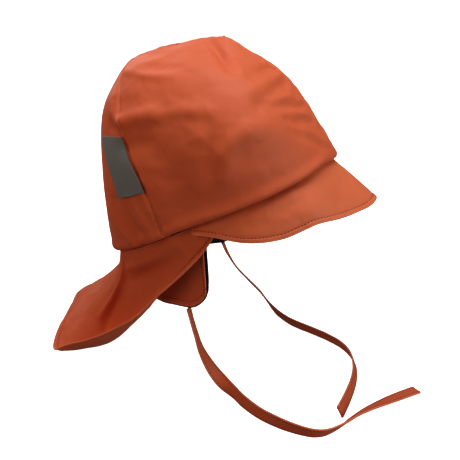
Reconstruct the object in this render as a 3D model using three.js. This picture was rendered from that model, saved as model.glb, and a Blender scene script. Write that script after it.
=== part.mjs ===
// A child's rain hat: a deep three-panel crown, a sewn peak, a long neck flap, two lined ear flaps
// with flat tie straps, and a bare woven tab in one seam.
// Millimetres, +Z up. The wearer faces -Y and the wearer's right is -X.
// The origin is the middle of the head opening, where the head holds the hat.
// Places round the hat are given in degrees from the front, positive towards the wearer's right.

import * as THREE from 'three';

// Driving dimensions
const CROWN_WALL = 1.6;
const PEAK_WALL = 3;
const FLAP_WALL = 1.6;
const EAR_WALL = 1.2;
const LINING_WALL = 1;
const LABEL_WALL = 0.8;
const GAP = 0.3;
const CENTRE_SEAM_GAP = 0.5;
const SIDE_SEAM_GAP = 0.9;

const CROWN_MIDDLE = new THREE.Vector3(0, 15, 35);
const CROWN_TOP_LEVEL = 10;
const CROWN_APEX_LEVEL = 8.24;
const BACK_TIP_DROP = 0.03;
const CROWN_COLUMNS = 16;
const CROWN_ROWS = 20;
const CROWN_BACK_COLUMNS = 12;
const CROWN_BACK_ROWS = 16;

// The two side panels meet in a ridge: their cloth falls away from the centre seam on both sides.
const RIDGE_FALL = 9;
const RIDGE_HALF_WIDTH = 20;
const RIDGE_REACH = 60;

const PEAK_END_DEG = 97;

const FLAP_START_DEG = 80;
const FLAP_ROOT_DROP = 0;
const CURL_DIP = 2.5;

const EAR_START_DEG = 91;
const EAR_END_DEG = 134;
const EAR_INSET = 4.6;
const LINING_SHOWS = 0.035;

const TIE_WIDTH = 11;
const TIE_THICKNESS = 1.8;
const TIE_STEPS = 46;

const LABEL_WIDTH_DEG = 16;
const LABEL_LOW_LEVEL = 3.47;
const LABEL_HIGH_LEVEL = 5.31;
const LABEL_LIFT = 1.1;
const LABEL_STAND_OFF = 1.5;

function table(columns, rows) {
  return rows.map((row) => Object.fromEntries(columns.map((name, i) => [name, row[i]])));
}

// The crown's rings from the seam (level 0) to the top: where each ring meets the front, the side
// and the back, and the angle of the side/back seam there.
const CROWN = table(
  ['level', 'frontY', 'frontZ', 'sideX', 'sideY', 'sideZ', 'backY', 'backZ', 'seamDeg'],
  [
    [0, -92, 47, 76, -0.5, 11, 92.3, -45.8, 108],
    [1, -93.5, 49.5, 79.5, 0, 15, 97, -41, 109.5],
    [2, -89.5, 57, 81.5, 1, 26, 99, -30, 112],
    [3, -83, 67, 83, 2, 43, 101, -8, 116],
    [4, -74, 80.5, 82, 4, 62, 102.5, 22, 121.5],
    [5, -64.5, 94.5, 78, 6, 81, 102.5, 52, 130.5],
    [6, -51.5, 109.5, 69, 10, 99, 99, 80, 137],
    [7, -36, 121.5, 54, 15, 115, 89, 101, 148],
    [8, -19.5, 130, 35, 22, 127, 76, 118, 172],
    [9, -8, 135.5, 16, 26, 134, 57, 127.5, 200],
    [10, 0, 139, 0, 18, 137, 38, 131.5, 200],
  ],
);

// Soft folds in the crown: from one place to another, half width and height (below 0 is a hollow).
const CROWN_FOLDS = table(
  ['fromDeg', 'fromLevel', 'toDeg', 'toLevel', 'width', 'height'],
  [
    [134, 5.75, 100, 6.15, 7, 3],
    [130, 5.0, 98, 5.4, 10, -3],
    [124, 7.0, 60, 7.3, 14, 1.5],
    [105, 4.4, 98, 2.8, 22, -3],
    [66, 4.0, 53, 3.1, 9, -3],
    [77, 4.1, 60, 4.9, 6, 1.5],
    [46, 5.6, 24, 5.3, 6, -1.8],
    [30, 4.6, 22, 4.1, 6, -1.5],
    [148, 3.2, 132, 1.7, 5, 2],
    [140, 3.4, 124, 1.9, 5, -2],
    [126, 3.3, 117, 1.2, 4, 1.6],
  ],
);

// The peak's free edge, how far the middle of the strip bows up, and where its sewn edge lies:
// how far outside the crown's rim and how far above it.
const PEAK = table(
  ['deg', 'edgeX', 'edgeY', 'edgeZ', 'bow', 'outset', 'lift'],
  [
    [0, 0, -126.5, 15, 0.5, -1, -0.4],
    [4, 6, -125.6, 14.4, 0.5, -1, -0.4],
    [9, 13, -122.6, 13, 0, -1, -0.4],
    [20, 27.7, -112.4, 12.4, 0, -1, -0.4],
    [32, 38.7, -100.7, 10.8, 1.5, -1, -0.4],
    [44, 50.4, -84, 9.1, 4, -1, -0.4],
    [54, 56.7, -72.6, 4.9, 4, -0.8, -0.4],
    [63, 63, -60, 0.5, 4, 0, -0.3],
    [72, 69, -45, -1.4, 3, 1.2, 0],
    [80, 73, -28, -1, 2, 1.7, 0.1],
    [88, 76.3, -10, 2.5, 1, 1.7, 0.1],
    [97, 77.3, 9, 4.4, 0, 1.7, 0.1],
  ],
);

// The neck flap from its right front end round the back to its left front end: where its hem
// lies, how far the cloth sags inwards in its upper and lower thirds, how far the hem curls up
// and how far the sewn edge lies inside the seam. The tail hangs a little to the right.
const FLAP = table(
  ['deg', 'hemX', 'hemY', 'hemZ', 'upperSag', 'lowerSag', 'curl', 'inset'],
  [
    [80, -71, -10, 6, 0, 0, 0, 2.8],
    [92, -74.5, 1, -12, 0, 1, 1, 2.6],
    [104, -76, 18, -32, 1, 4, 2, 1],
    [116, -75, 38, -53, 4, 10, 4, 1],
    [128, -74, 58, -75, 8, 18, 9, 1],
    [140, -72, 84, -94, 13, 28, 13, 1],
    [149, -69, 106, -107, 18, 32, 16, 1],
    [157, -64, 127, -118, 22, 33, 13, 1],
    [164, -58, 143, -127, 22, 29, 5, 1],
    [172, -30, 148, -121.5, 21, 12, 0, 1],
    [180, -8, 151, -121.5, 20, 5, 0, 1],
    [188, 14, 153.5, -121.5, 20, 4, 0, 1],
    [196, 40, 156, -121.6, 20, 6, 0, 1],
    [203, 57, 138, -118, 20, 16, 3, 1],
    [211, 66, 110, -107, 17, 24, 6, 1],
    [220, 71, 86, -94, 13, 24, 7, 1],
    [232, 74, 58, -74, 8, 15, 7, 1],
    [244, 75, 38, -53, 4, 8, 4, 1],
    [256, 76, 18, -32, 1, 4, 2, 1],
    [268, 74.5, 1, -12, 0, 1, 1, 2.6],
    [280, 71, -10, 6, 0, 0, 0, 2.8],
  ],
);

// An ear flap's lower edge, and how far its strip bows inwards.
const EAR_FLAP = table(
  ['deg', 'edgeX', 'edgeY', 'edgeZ', 'bow'],
  [
    [91, 70.5, -1, -46, 0],
    [94, 69, 2, -56, 1],
    [98, 67.5, 9, -64, 2],
    [102, 66, 16, -67, 3],
    [110, 62, 29, -64, 5],
    [118, 57, 42, -62, 6],
    [126, 52, 54, -55, 6],
    [134, 48, 62, -42, 4],
  ],
);

// The middle lines of the two ties, chosen by hand, with the way that the flat side faces. Each
// strap hangs from its ear flap, stands on its edge along the table and turns over near its end. Each
// strap hangs from its ear flap, stands on its edge along the table and turns over near its end.
const TIE_RIGHT = table(
  ['x', 'y', 'z', 'faceX', 'faceY', 'faceZ'],
  [
    [-65.4, 15.7, -67.1, 0.05, -1, 0],
    [-67.5, 12, -80, 0.1, -1, 0],
    [-68, 9, -91, 0.1, -1, 0.05],
    [-68, 5, -105, -0.05, -1, 0.1],
    [-68.5, -3, -120, -0.4, -0.8, 0.3],
    [-72, -13.5, -130.5, -0.8, -0.5, 0.2],
    [-77.5, -24.5, -135.5, -0.95, 0.1, 0.1],
    [-86.5, -34, -136.5, -0.8, 0.55, 0.2],
    [-98.5, -49, -136.5, -0.85, 0.5, 0.1],
    [-106.5, -64.5, -136.5, -0.9, 0.4, 0],
    [-111.5, -78.5, -136.5, -0.95, 0.25, -0.15],
    [-114, -92.5, -136.5, -0.95, -0.1, -0.3],
    [-110.5, -103, -137, -0.75, -0.5, -0.45],
    [-100, -114, -137, -0.5, -0.6, -0.55],
    [-85, -124, -138, -0.4, -0.5, -0.7],
    [-70.5, -136, -139, -0.3, -0.3, -0.85],
    [-53, -153, -140.5, -0.15, -0.1, -1],
    [-41, -167.5, -140.5, -0.1, -0.05, -1],
    [-37, -172.5, -140.5, -0.1, -0.05, -1],
  ],
);
const TIE_LEFT = table(
  ['x', 'y', 'z', 'faceX', 'faceY', 'faceZ'],
  [
    [65.4, 15.7, -67.1, -0.2, 1, 0],
    [67.5, 11, -80, -0.25, 0.95, -0.1],
    [66.5, 2, -94, -0.35, 0.9, -0.25],
    [64, -11, -106, -0.35, 0.8, -0.45],
    [62.5, -22, -116, -0.35, 0.75, -0.5],
    [60.5, -31, -126, -0.45, 0.7, -0.5],
    [56, -40.5, -134, -0.7, 0.6, -0.4],
    [48.5, -51, -136.5, -0.75, 0.55, -0.35],
    [41.5, -60.5, -136.5, -0.8, 0.5, -0.35],
    [32, -78.5, -136.5, -0.8, 0.45, -0.35],
    [24, -92.5, -136.5, -0.8, 0.5, -0.35],
    [14.5, -105, -136.5, -0.65, 0.65, -0.35],
    [2.5, -114, -136.5, -0.5, 0.8, -0.35],
    [-10.5, -118.5, -136.5, -0.3, 0.9, -0.35],
    [-24, -120.5, -136.5, -0.05, 0.95, -0.35],
    [-41.5, -120, -136.5, 0.1, 0.95, -0.35],
    [-60.5, -117, -136.5, 0.15, 0.9, -0.4],
    [-76, -113.5, -137, 0.25, 0.85, -0.45],
    [-84, -111.5, -137, 0.25, 0.85, -0.5],
  ],
);

const WEARER = {
  right: -1,
  left: 1,
};

// Smooth values of every column at a place along the table's key column.
function sample(rows, key, value) {
  const last = rows.length - 1;
  const clipped = THREE.MathUtils.clamp(value, rows[0][key], rows[last][key]);
  let i = 0;
  while (i < last - 1 && clipped > rows[i + 1][key]) i += 1;
  const [b, c] = [rows[i], rows[i + 1]];
  const f = (clipped - b[key]) / (c[key] - b[key]);
  const result = {};
  for (const name of Object.keys(b)) {
    const before = i > 0 ? rows[i - 1][name] : 2 * b[name] - c[name];
    const after = i < last - 1 ? rows[i + 2][name] : 2 * c[name] - b[name];
    const slopeIn = (c[name] - before) / 2;
    const slopeOut = (after - b[name]) / 2;
    const rise = c[name] - b[name];
    result[name] = b[name] + f * (slopeIn + f * (3 * rise - 2 * slopeIn - slopeOut
      + f * (slopeIn + slopeOut - 2 * rise)));
  }
  return result;
}

function ringPoint(deg, level) {
  const ring = sample(CROWN, 'level', level);
  const angle = THREE.MathUtils.degToRad(deg);
  const c = Math.cos(angle);
  const between = (front, side, back) => (
    side + (front - back) / 2 * c + ((front + back) / 2 - side) * c * c
  );
  const point = new THREE.Vector3(
    -ring.sideX * Math.sin(angle),
    between(ring.frontY, ring.sideY, ring.backY),
    between(ring.frontZ, ring.sideZ, ring.backZ),
  );
  const away = Math.abs(point.x);
  const fall = RIDGE_FALL * (1 - Math.exp(-away / RIDGE_HALF_WIDTH)) * Math.exp(-away / RIDGE_REACH);
  const onSeam = Math.max(
    THREE.MathUtils.smoothstep(c, -0.9, -0.3),
    THREE.MathUtils.smoothstep(level, 7.5, 9),
  );
  const outward = point.clone().sub(CROWN_MIDDLE);
  outward.z *= THREE.MathUtils.smoothstep(level, 0, 4);
  return point.addScaledVector(outward.normalize(), -fall * onSeam);
}

const FOLD_LINES = CROWN_FOLDS.map((fold) => ({
  line: new THREE.Line3(ringPoint(fold.fromDeg, fold.fromLevel), ringPoint(fold.toDeg, fold.toLevel)),
  width: fold.width,
  height: fold.height,
}));

function foldHeight(point) {
  const onRight = new THREE.Vector3(-Math.abs(point.x), point.y, point.z);
  const nearest = new THREE.Vector3();
  let height = 0;
  for (const fold of FOLD_LINES) {
    fold.line.closestPointToPoint(onRight, true, nearest);
    height += fold.height * Math.exp(-((onRight.distanceTo(nearest) / fold.width) ** 2));
  }
  return height;
}

function crownPoint(deg, level) {
  const point = ringPoint(deg, level);
  const outward = point.clone().sub(CROWN_MIDDLE).normalize();
  return point.addScaledVector(outward, foldHeight(point) * Math.min(1, level / 2));
}

function seamDeg(level) {
  return Math.min(180, sample(CROWN, 'level', level).seamDeg);
}

function seamGapDeg(level) {
  const radius = sample(CROWN, 'level', level).backY;
  return THREE.MathUtils.radToDeg(SIDE_SEAM_GAP / 2 / radius);
}

// The level outward direction at the head opening.
function openingOutward(deg) {
  const ahead = ringPoint(deg + 1, 0).sub(ringPoint(deg - 1, 0));
  return new THREE.Vector3(ahead.y, -ahead.x, 0).normalize().multiplyScalar(-1);
}

function rootPoint(deg, outset, drop) {
  const point = ringPoint(deg, 0).addScaledVector(openingOutward(deg), outset);
  point.z -= drop;
  return point;
}

// A closed mesh from two grids of points, which are the two faces of a wall.
function closeWall(outer, inner, columns, rows, flip) {
  const stride = columns + 1;
  const index = [];
  const quad = (a, b, c, d) => (flip ? index.push(a, c, b, a, d, c) : index.push(a, b, c, a, c, d));
  const back = outer.length;
  for (let j = 0; j < rows; j += 1) {
    for (let i = 0; i < columns; i += 1) {
      const a = j * stride + i;
      quad(a, a + 1, a + stride + 1, a + stride);
      quad(back + a, back + a + stride, back + a + stride + 1, back + a + 1);
    }
  }
  for (let i = 0; i < columns; i += 1) {
    const top = rows * stride + i;
    quad(i, back + i, back + i + 1, i + 1);
    quad(top, top + 1, back + top + 1, back + top);
  }
  for (let j = 0; j < rows; j += 1) {
    const left = j * stride;
    const right = left + columns;
    quad(left, left + stride, back + left + stride, back + left);
    quad(right, back + right, back + right + stride, right + stride);
  }
  const geometry = new THREE.BufferGeometry();
  const positions = [...outer, ...inner].flatMap((p) => p.toArray());
  geometry.setAttribute('position', new THREE.Float32BufferAttribute(positions, 3));
  geometry.setIndex(index);
  geometry.computeVertexNormals();
  return geometry;
}

// A wall of even thickness under a surface(u, v), starting at a depth below it. The wall is on the
// side that faces "inside", and trim can hold its points back from a plane.
function sheet(surface, inside, columns, rows, thickness, { depth = 0, trim = (p) => p } = {}) {
  const step = 0.002;
  const normal = (u, v) => {
    const across = surface(Math.min(u + step, 1), v).sub(surface(Math.max(u - step, 0), v));
    const along = surface(u, Math.min(v + step, 1)).sub(surface(u, Math.max(v - step, 0)));
    return across.cross(along).normalize();
  };
  const facing = Math.sign(normal(0.5, 0.3).dot(surface(0.5, 0.3).sub(inside)));
  const outer = [];
  const inner = [];
  for (let j = 0; j <= rows; j += 1) {
    for (let i = 0; i <= columns; i += 1) {
      const [u, v] = [i / columns, j / rows];
      const inward = normal(u, v).multiplyScalar(-facing);
      outer.push(trim(surface(u, v).addScaledVector(inward, depth)));
      inner.push(trim(surface(u, v).addScaledVector(inward, depth + thickness)));
    }
  }
  return closeWall(outer, inner, columns, rows, facing < 0);
}

// The side panels have rows at the same levels as the back panel, and more above its tip.
function crownSidePanel(side) {
  const apex = CROWN_BACK_ROWS / CROWN_ROWS;
  const surface = (u, v) => {
    const level = v < apex
      ? v / apex * CROWN_APEX_LEVEL
      : THREE.MathUtils.mapLinear(v, apex, 1, CROWN_APEX_LEVEL, CROWN_TOP_LEVEL);
    const deg = u * (seamDeg(level) - seamGapDeg(level));
    const point = crownPoint(deg, level);
    point.x *= -side;
    return point;
  };
  const trim = (p) => p.setX(side * Math.max(side * p.x, CENTRE_SEAM_GAP / 2));
  return sheet(surface, CROWN_MIDDLE, CROWN_COLUMNS, CROWN_ROWS, CROWN_WALL, { trim });
}

function crownBackPanel() {
  const surface = (u, v) => {
    const level = v * (CROWN_APEX_LEVEL - BACK_TIP_DROP);
    const start = seamDeg(level) + seamGapDeg(level);
    return crownPoint(start + u * (360 - 2 * start), level);
  };
  return sheet(surface, CROWN_MIDDLE, CROWN_BACK_COLUMNS, CROWN_BACK_ROWS, CROWN_WALL);
}

function peak() {
  const below = new THREE.Vector3(0, -60, -80);
  const surface = (u, v) => {
    const deg = PEAK_END_DEG * (2 * u - 1);
    const row = sample(PEAK, 'deg', Math.abs(deg));
    const root = rootPoint(deg, row.outset, -row.lift);
    const edge = new THREE.Vector3(-Math.sign(deg) * row.edgeX, row.edgeY, row.edgeZ);
    const bow = 4 * v * (1 - v) * row.bow;
    const outward = openingOutward(deg);
    return root.lerp(edge, v).addScaledVector(outward, bow * 0.5).add(new THREE.Vector3(0, 0, bow * 0.8));
  };
  return sheet(surface, below, 28, 5, PEAK_WALL);
}

function neckFlap() {
  const inside = new THREE.Vector3(0, 60, -60);
  const surface = (u, v) => {
    const row = sample(FLAP, 'deg', THREE.MathUtils.lerp(FLAP_START_DEG, 360 - FLAP_START_DEG, u));
    const root = rootPoint(row.deg, -row.inset, FLAP_ROOT_DROP);
    const hem = new THREE.Vector3(row.hemX, row.hemY, row.hemZ);
    const chord = hem.clone().sub(root);
    const inward = openingOutward(row.deg).negate();
    inward.addScaledVector(chord, -inward.dot(chord) / chord.lengthSq()).normalize();
    const upper = root.clone().addScaledVector(chord, 1 / 3).addScaledVector(inward, row.upperSag);
    const lower = root.clone().addScaledVector(chord, 2 / 3).addScaledVector(inward, row.lowerSag);
    lower.z -= row.curl * CURL_DIP;
    return new THREE.CubicBezierCurve3(root, upper, lower, hem).getPoint(v);
  };
  return sheet(surface, inside, 44, 10, FLAP_WALL);
}

// A layer of an ear flap at a depth below its outer face. The front and lower edges of the outer
// layer are set back, so that the lining shows there.
function earLayer(side, depth, thickness, setBack) {
  const inside = new THREE.Vector3(0, 25, -30);
  const surface = (u, v) => {
    const along = setBack + u * (1 - setBack);
    const row = sample(EAR_FLAP, 'deg', THREE.MathUtils.lerp(EAR_START_DEG, EAR_END_DEG, along));
    const root = rootPoint(row.deg, -EAR_INSET, 0);
    const edge = new THREE.Vector3(-row.edgeX, row.edgeY, row.edgeZ);
    const down = v * (1 - setBack / 2);
    const point = root.lerp(edge, down);
    point.x += 4 * down * (1 - down) * row.bow;
    point.x *= -side;
    return point;
  };
  return sheet(surface, inside, 10, 7, thickness, { depth });
}

// A flat strap with chamfered edges along a row of points.
function strap(rows) {
  const path = new THREE.CatmullRomCurve3(rows.map((row) => new THREE.Vector3(row.x, row.y, row.z)));
  const faces = new THREE.CatmullRomCurve3(rows.map((row) => new THREE.Vector3(row.faceX, row.faceY, row.faceZ)));
  const [w, h, chamfer] = [TIE_WIDTH / 2, TIE_THICKNESS / 2, TIE_THICKNESS / 4];
  const section = [
    [w, -h + chamfer], [w, h - chamfer], [w - chamfer, h], [-w + chamfer, h],
    [-w, h - chamfer], [-w, -h + chamfer], [-w + chamfer, -h], [w - chamfer, -h],
  ];
  const points = [];
  for (let k = 0; k <= TIE_STEPS; k += 1) {
    const t = path.getUtoTmapping(k / TIE_STEPS);
    const middle = path.getPoint(t);
    const ahead = path.getTangent(t);
    const across = ahead.clone().cross(faces.getPoint(t)).normalize();
    const face = across.clone().cross(ahead).normalize();
    for (const [x, y] of section) points.push(middle.clone().addScaledVector(across, x).addScaledVector(face, y));
  }
  const n = section.length;
  const index = [];
  for (let k = 0; k < TIE_STEPS; k += 1) {
    for (let i = 0; i < n; i += 1) {
      const [a, b] = [k * n + i, k * n + (i + 1) % n];
      index.push(a, b + n, b, a, a + n, b + n);
    }
  }
  const end = TIE_STEPS * n;
  for (let i = 1; i < n - 1; i += 1) index.push(0, i, i + 1, end, end + i + 1, end + i);
  const geometry = new THREE.BufferGeometry();
  geometry.setAttribute('position', new THREE.Float32BufferAttribute(points.flatMap((p) => p.toArray()), 3));
  geometry.setIndex(index);
  geometry.computeVertexNormals();
  return geometry;
}

// The tab is sewn in the right side/back seam and lies on the back panel.
function label() {
  const surface = (u, v) => {
    const level = THREE.MathUtils.lerp(LABEL_LOW_LEVEL, LABEL_HIGH_LEVEL, v);
    const point = crownPoint(seamDeg(level) + u * LABEL_WIDTH_DEG, level);
    const outward = new THREE.Vector3(point.x, point.y - CROWN_MIDDLE.y, 0).normalize();
    return point.addScaledVector(outward, LABEL_WALL + LABEL_LIFT + LABEL_STAND_OFF * u * u);
  };
  return sheet(surface, CROWN_MIDDLE, 4, 4, LABEL_WALL);
}

const coated = { color: 0xd2664a, roughness: 0.55, metalness: 0 };
const lining = { color: 0x16161a, roughness: 0.9, metalness: 0 };
const woven = { color: 0x6f7168, roughness: 0.8, metalness: 0 };

const group = new THREE.Group();

function add(name, geometry, finish) {
  const mesh = new THREE.Mesh(geometry, new THREE.MeshStandardMaterial(finish));
  mesh.name = name;
  group.add(mesh);
}

for (const [hand, side] of Object.entries(WEARER)) {
  add(`crown_${hand}_panel`, crownSidePanel(side), coated);
  add(`ear_flap_${hand}`, earLayer(side, 0, EAR_WALL, LINING_SHOWS), coated);
  add(`ear_flap_lining_${hand}`, earLayer(side, EAR_WALL + 2 * GAP, LINING_WALL, 0), lining);
}
add('crown_back_panel', crownBackPanel(), coated);
add('peak', peak(), coated);
add('neck_flap', neckFlap(), coated);
add('tie_right', strap(TIE_RIGHT), coated);
add('tie_left', strap(TIE_LEFT), coated);
add('label', label(), woven);

export default group;
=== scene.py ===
"""A child's rain hat in coated cloth: its cloth, seams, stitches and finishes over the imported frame.

Places on the hat are in millimetres in the frame's own axes: +Z is up, the wearer faces -Y and the
wearer's right is -X. Places round it are in degrees from the front, positive to the right.
"""

import logging
import math
from collections.abc import Callable, Sequence
from dataclasses import dataclass
from enum import Enum
from functools import cached_property, partial

import bpy
import numpy as np
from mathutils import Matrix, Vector, noise

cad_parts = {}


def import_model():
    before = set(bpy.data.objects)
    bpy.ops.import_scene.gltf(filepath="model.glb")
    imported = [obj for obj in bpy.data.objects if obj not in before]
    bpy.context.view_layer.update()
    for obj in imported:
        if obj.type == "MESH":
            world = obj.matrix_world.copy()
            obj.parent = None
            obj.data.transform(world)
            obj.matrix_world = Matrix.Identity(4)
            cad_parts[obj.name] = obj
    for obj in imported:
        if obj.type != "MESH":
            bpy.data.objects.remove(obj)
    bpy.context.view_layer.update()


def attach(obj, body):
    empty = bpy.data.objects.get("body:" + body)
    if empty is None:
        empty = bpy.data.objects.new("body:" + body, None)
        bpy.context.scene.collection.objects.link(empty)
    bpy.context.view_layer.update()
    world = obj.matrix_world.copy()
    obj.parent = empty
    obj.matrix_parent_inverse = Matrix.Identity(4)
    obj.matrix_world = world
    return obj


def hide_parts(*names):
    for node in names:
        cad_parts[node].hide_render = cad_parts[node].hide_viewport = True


log = logging.getLogger("rain_hat")

MM = 0.001
BODY = "root"

Grid = np.ndarray
Surface = Callable[[Grid, Grid], Grid]


class Side(Enum):
    """The wearer's two sides, with the sign of X on each."""

    RIGHT = -1
    LEFT = 1

    @property
    def hand(self) -> str:
        """The side's word in the names of nodes."""
        return self.name.lower()


class Edge(Enum):
    """How an edge of cloth is finished."""

    SEAM = "sewn to its neighbour, drawn inwards with small puckers"
    HEM = "turned under and stitched in one row"
    ROLLED = "turned under softly, with no stitches in sight"
    RAW = "plain"


class Profile:
    """Smooth values of a table's columns at any place along its first column."""

    def __init__(self, columns: Sequence[str], rows: Sequence[Sequence[float]]) -> None:
        """Keeps the table.

        Args:
            columns: the names of the columns, with the key column first.
            rows: one row for each section, in rising order of the key.
        """
        self.columns = tuple(columns)
        self.rows = np.asarray(rows, float)

    def at(self, key: Grid) -> dict[str, Grid]:
        """Samples every column with a smooth curve through the rows.

        Args:
            key: places along the key column, of any shape.

        Returns:
            The values of each column by its name.
        """
        keys = self.rows[:, 0]
        place = np.clip(np.asarray(key, float), keys[0], keys[-1])
        i = np.clip(np.searchsorted(keys, place, side="right") - 1, 0, len(keys) - 2)
        f = ((place - keys[i]) / (keys[i + 1] - keys[i]))[..., None]
        ends = (2 * self.rows[0] - self.rows[1], 2 * self.rows[-1] - self.rows[-2])
        padded = np.vstack([ends[0], self.rows, ends[1]])
        before, low, high, after = (padded[i + k] for k in range(4))
        slope_in, slope_out, rise = (high - before) / 2, (after - low) / 2, high - low
        curve = 3 * rise - 2 * slope_in - slope_out + f * (slope_in + slope_out - 2 * rise)
        values = low + f * (slope_in + f * curve)
        return {name: values[..., k] for k, name in enumerate(self.columns)}


def smoothstep(value: Grid, low: float, high: float) -> Grid:
    """A smooth rise from 0 at low to 1 at high."""
    t = np.clip((np.asarray(value, float) - low) / (high - low), 0, 1)
    return t * t * (3 - 2 * t)


def unit(vectors: Grid) -> Grid:
    """The vectors at length 1."""
    return vectors / np.maximum(np.linalg.norm(vectors, axis=-1, keepdims=True), 1e-9)


def bell(distance: Grid, width: float) -> Grid:
    """A smooth hump that is 1 at distance 0 and fades over the width."""
    return np.exp(-((distance / width) ** 2))


def soft_noise(points: Grid, grain: float, seed: float) -> Grid:
    """Smooth noise between about -1 and 1 at points.

    Args:
        points: places in millimetres, with 3 as the last axis.
        grain: the size of the noise's lumps in millimetres.
        seed: moves the noise to another place.

    Returns:
        A value for each point.
    """
    flat = points.reshape(-1, 3) / grain + seed
    values = [noise.noise(Vector(p), noise_basis="PERLIN_ORIGINAL") for p in flat]
    return np.array(values).reshape(points.shape[:-1])


def linear(code: str) -> tuple[float, float, float, float]:
    """An sRGB hex colour as linear values for a shader.

    Args:
        code: six hex digits.

    Returns:
        Red, green, blue and an alpha of 1.
    """
    parts = [int(code[k:k + 2], 16) / 255 for k in (0, 2, 4)]
    red, green, blue = (c / 12.92 if c <= 0.04045 else ((c + 0.055) / 1.055) ** 2.4 for c in parts)
    return red, green, blue, 1.0


# The shape of the hat in millimetres and degrees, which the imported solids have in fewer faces

# The rings of the crown, from the rim up, through three places each, and where the side seam crosses
CROWN = Profile(
    ("level", "front_y", "front_z", "side_x", "side_y", "side_z", "back_y", "back_z", "seam_deg"),
    [
        (0, -92, 47, 76, -0.5, 11, 92.3, -45.8, 108),
        (1, -93.5, 49.5, 79.5, 0, 15, 97, -41, 109.5),
        (2, -89.5, 57, 81.5, 1, 26, 99, -30, 112),
        (3, -83, 67, 83, 2, 43, 101, -8, 116),
        (4, -74, 80.5, 82, 4, 62, 102.5, 22, 121.5),
        (5, -64.5, 94.5, 78, 6, 81, 102.5, 52, 130.5),
        (6, -51.5, 109.5, 69, 10, 99, 99, 80, 137),
        (7, -36, 121.5, 54, 15, 115, 89, 101, 148),
        (8, -19.5, 130, 35, 22, 127, 76, 118, 172),
        (9, -8, 137, 16, 26, 134.5, 57, 127.5, 200),
        (10, 0, 139.5, 0, 18, 137.7, 38, 131.5, 200),
    ],
)

# (from deg, from level, to deg, to level, half width, height), below 0 for a hollow
CROWN_FOLDS = [
    (134, 5.75, 113, 6.0, 7, 2.8),
    (130, 5.0, 116, 5.15, 8, -2.2),
    (124, 7.0, 60, 7.3, 14, 1.5),
    (105, 4.4, 98, 2.8, 22, -3.6),
    (66, 4.0, 53, 3.1, 9, -0.4),
    (77, 4.1, 60, 4.9, 6, 1),
    (46, 5.6, 24, 5.3, 6, -1.8),
    (30, 4.6, 22, 4.1, 6, -1.5),
    (148, 3.2, 132, 1.7, 5, 2),
    (140, 3.4, 124, 1.9, 5, -2),
    (126, 3.3, 117, 1.2, 4, 1.6),
]

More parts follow.
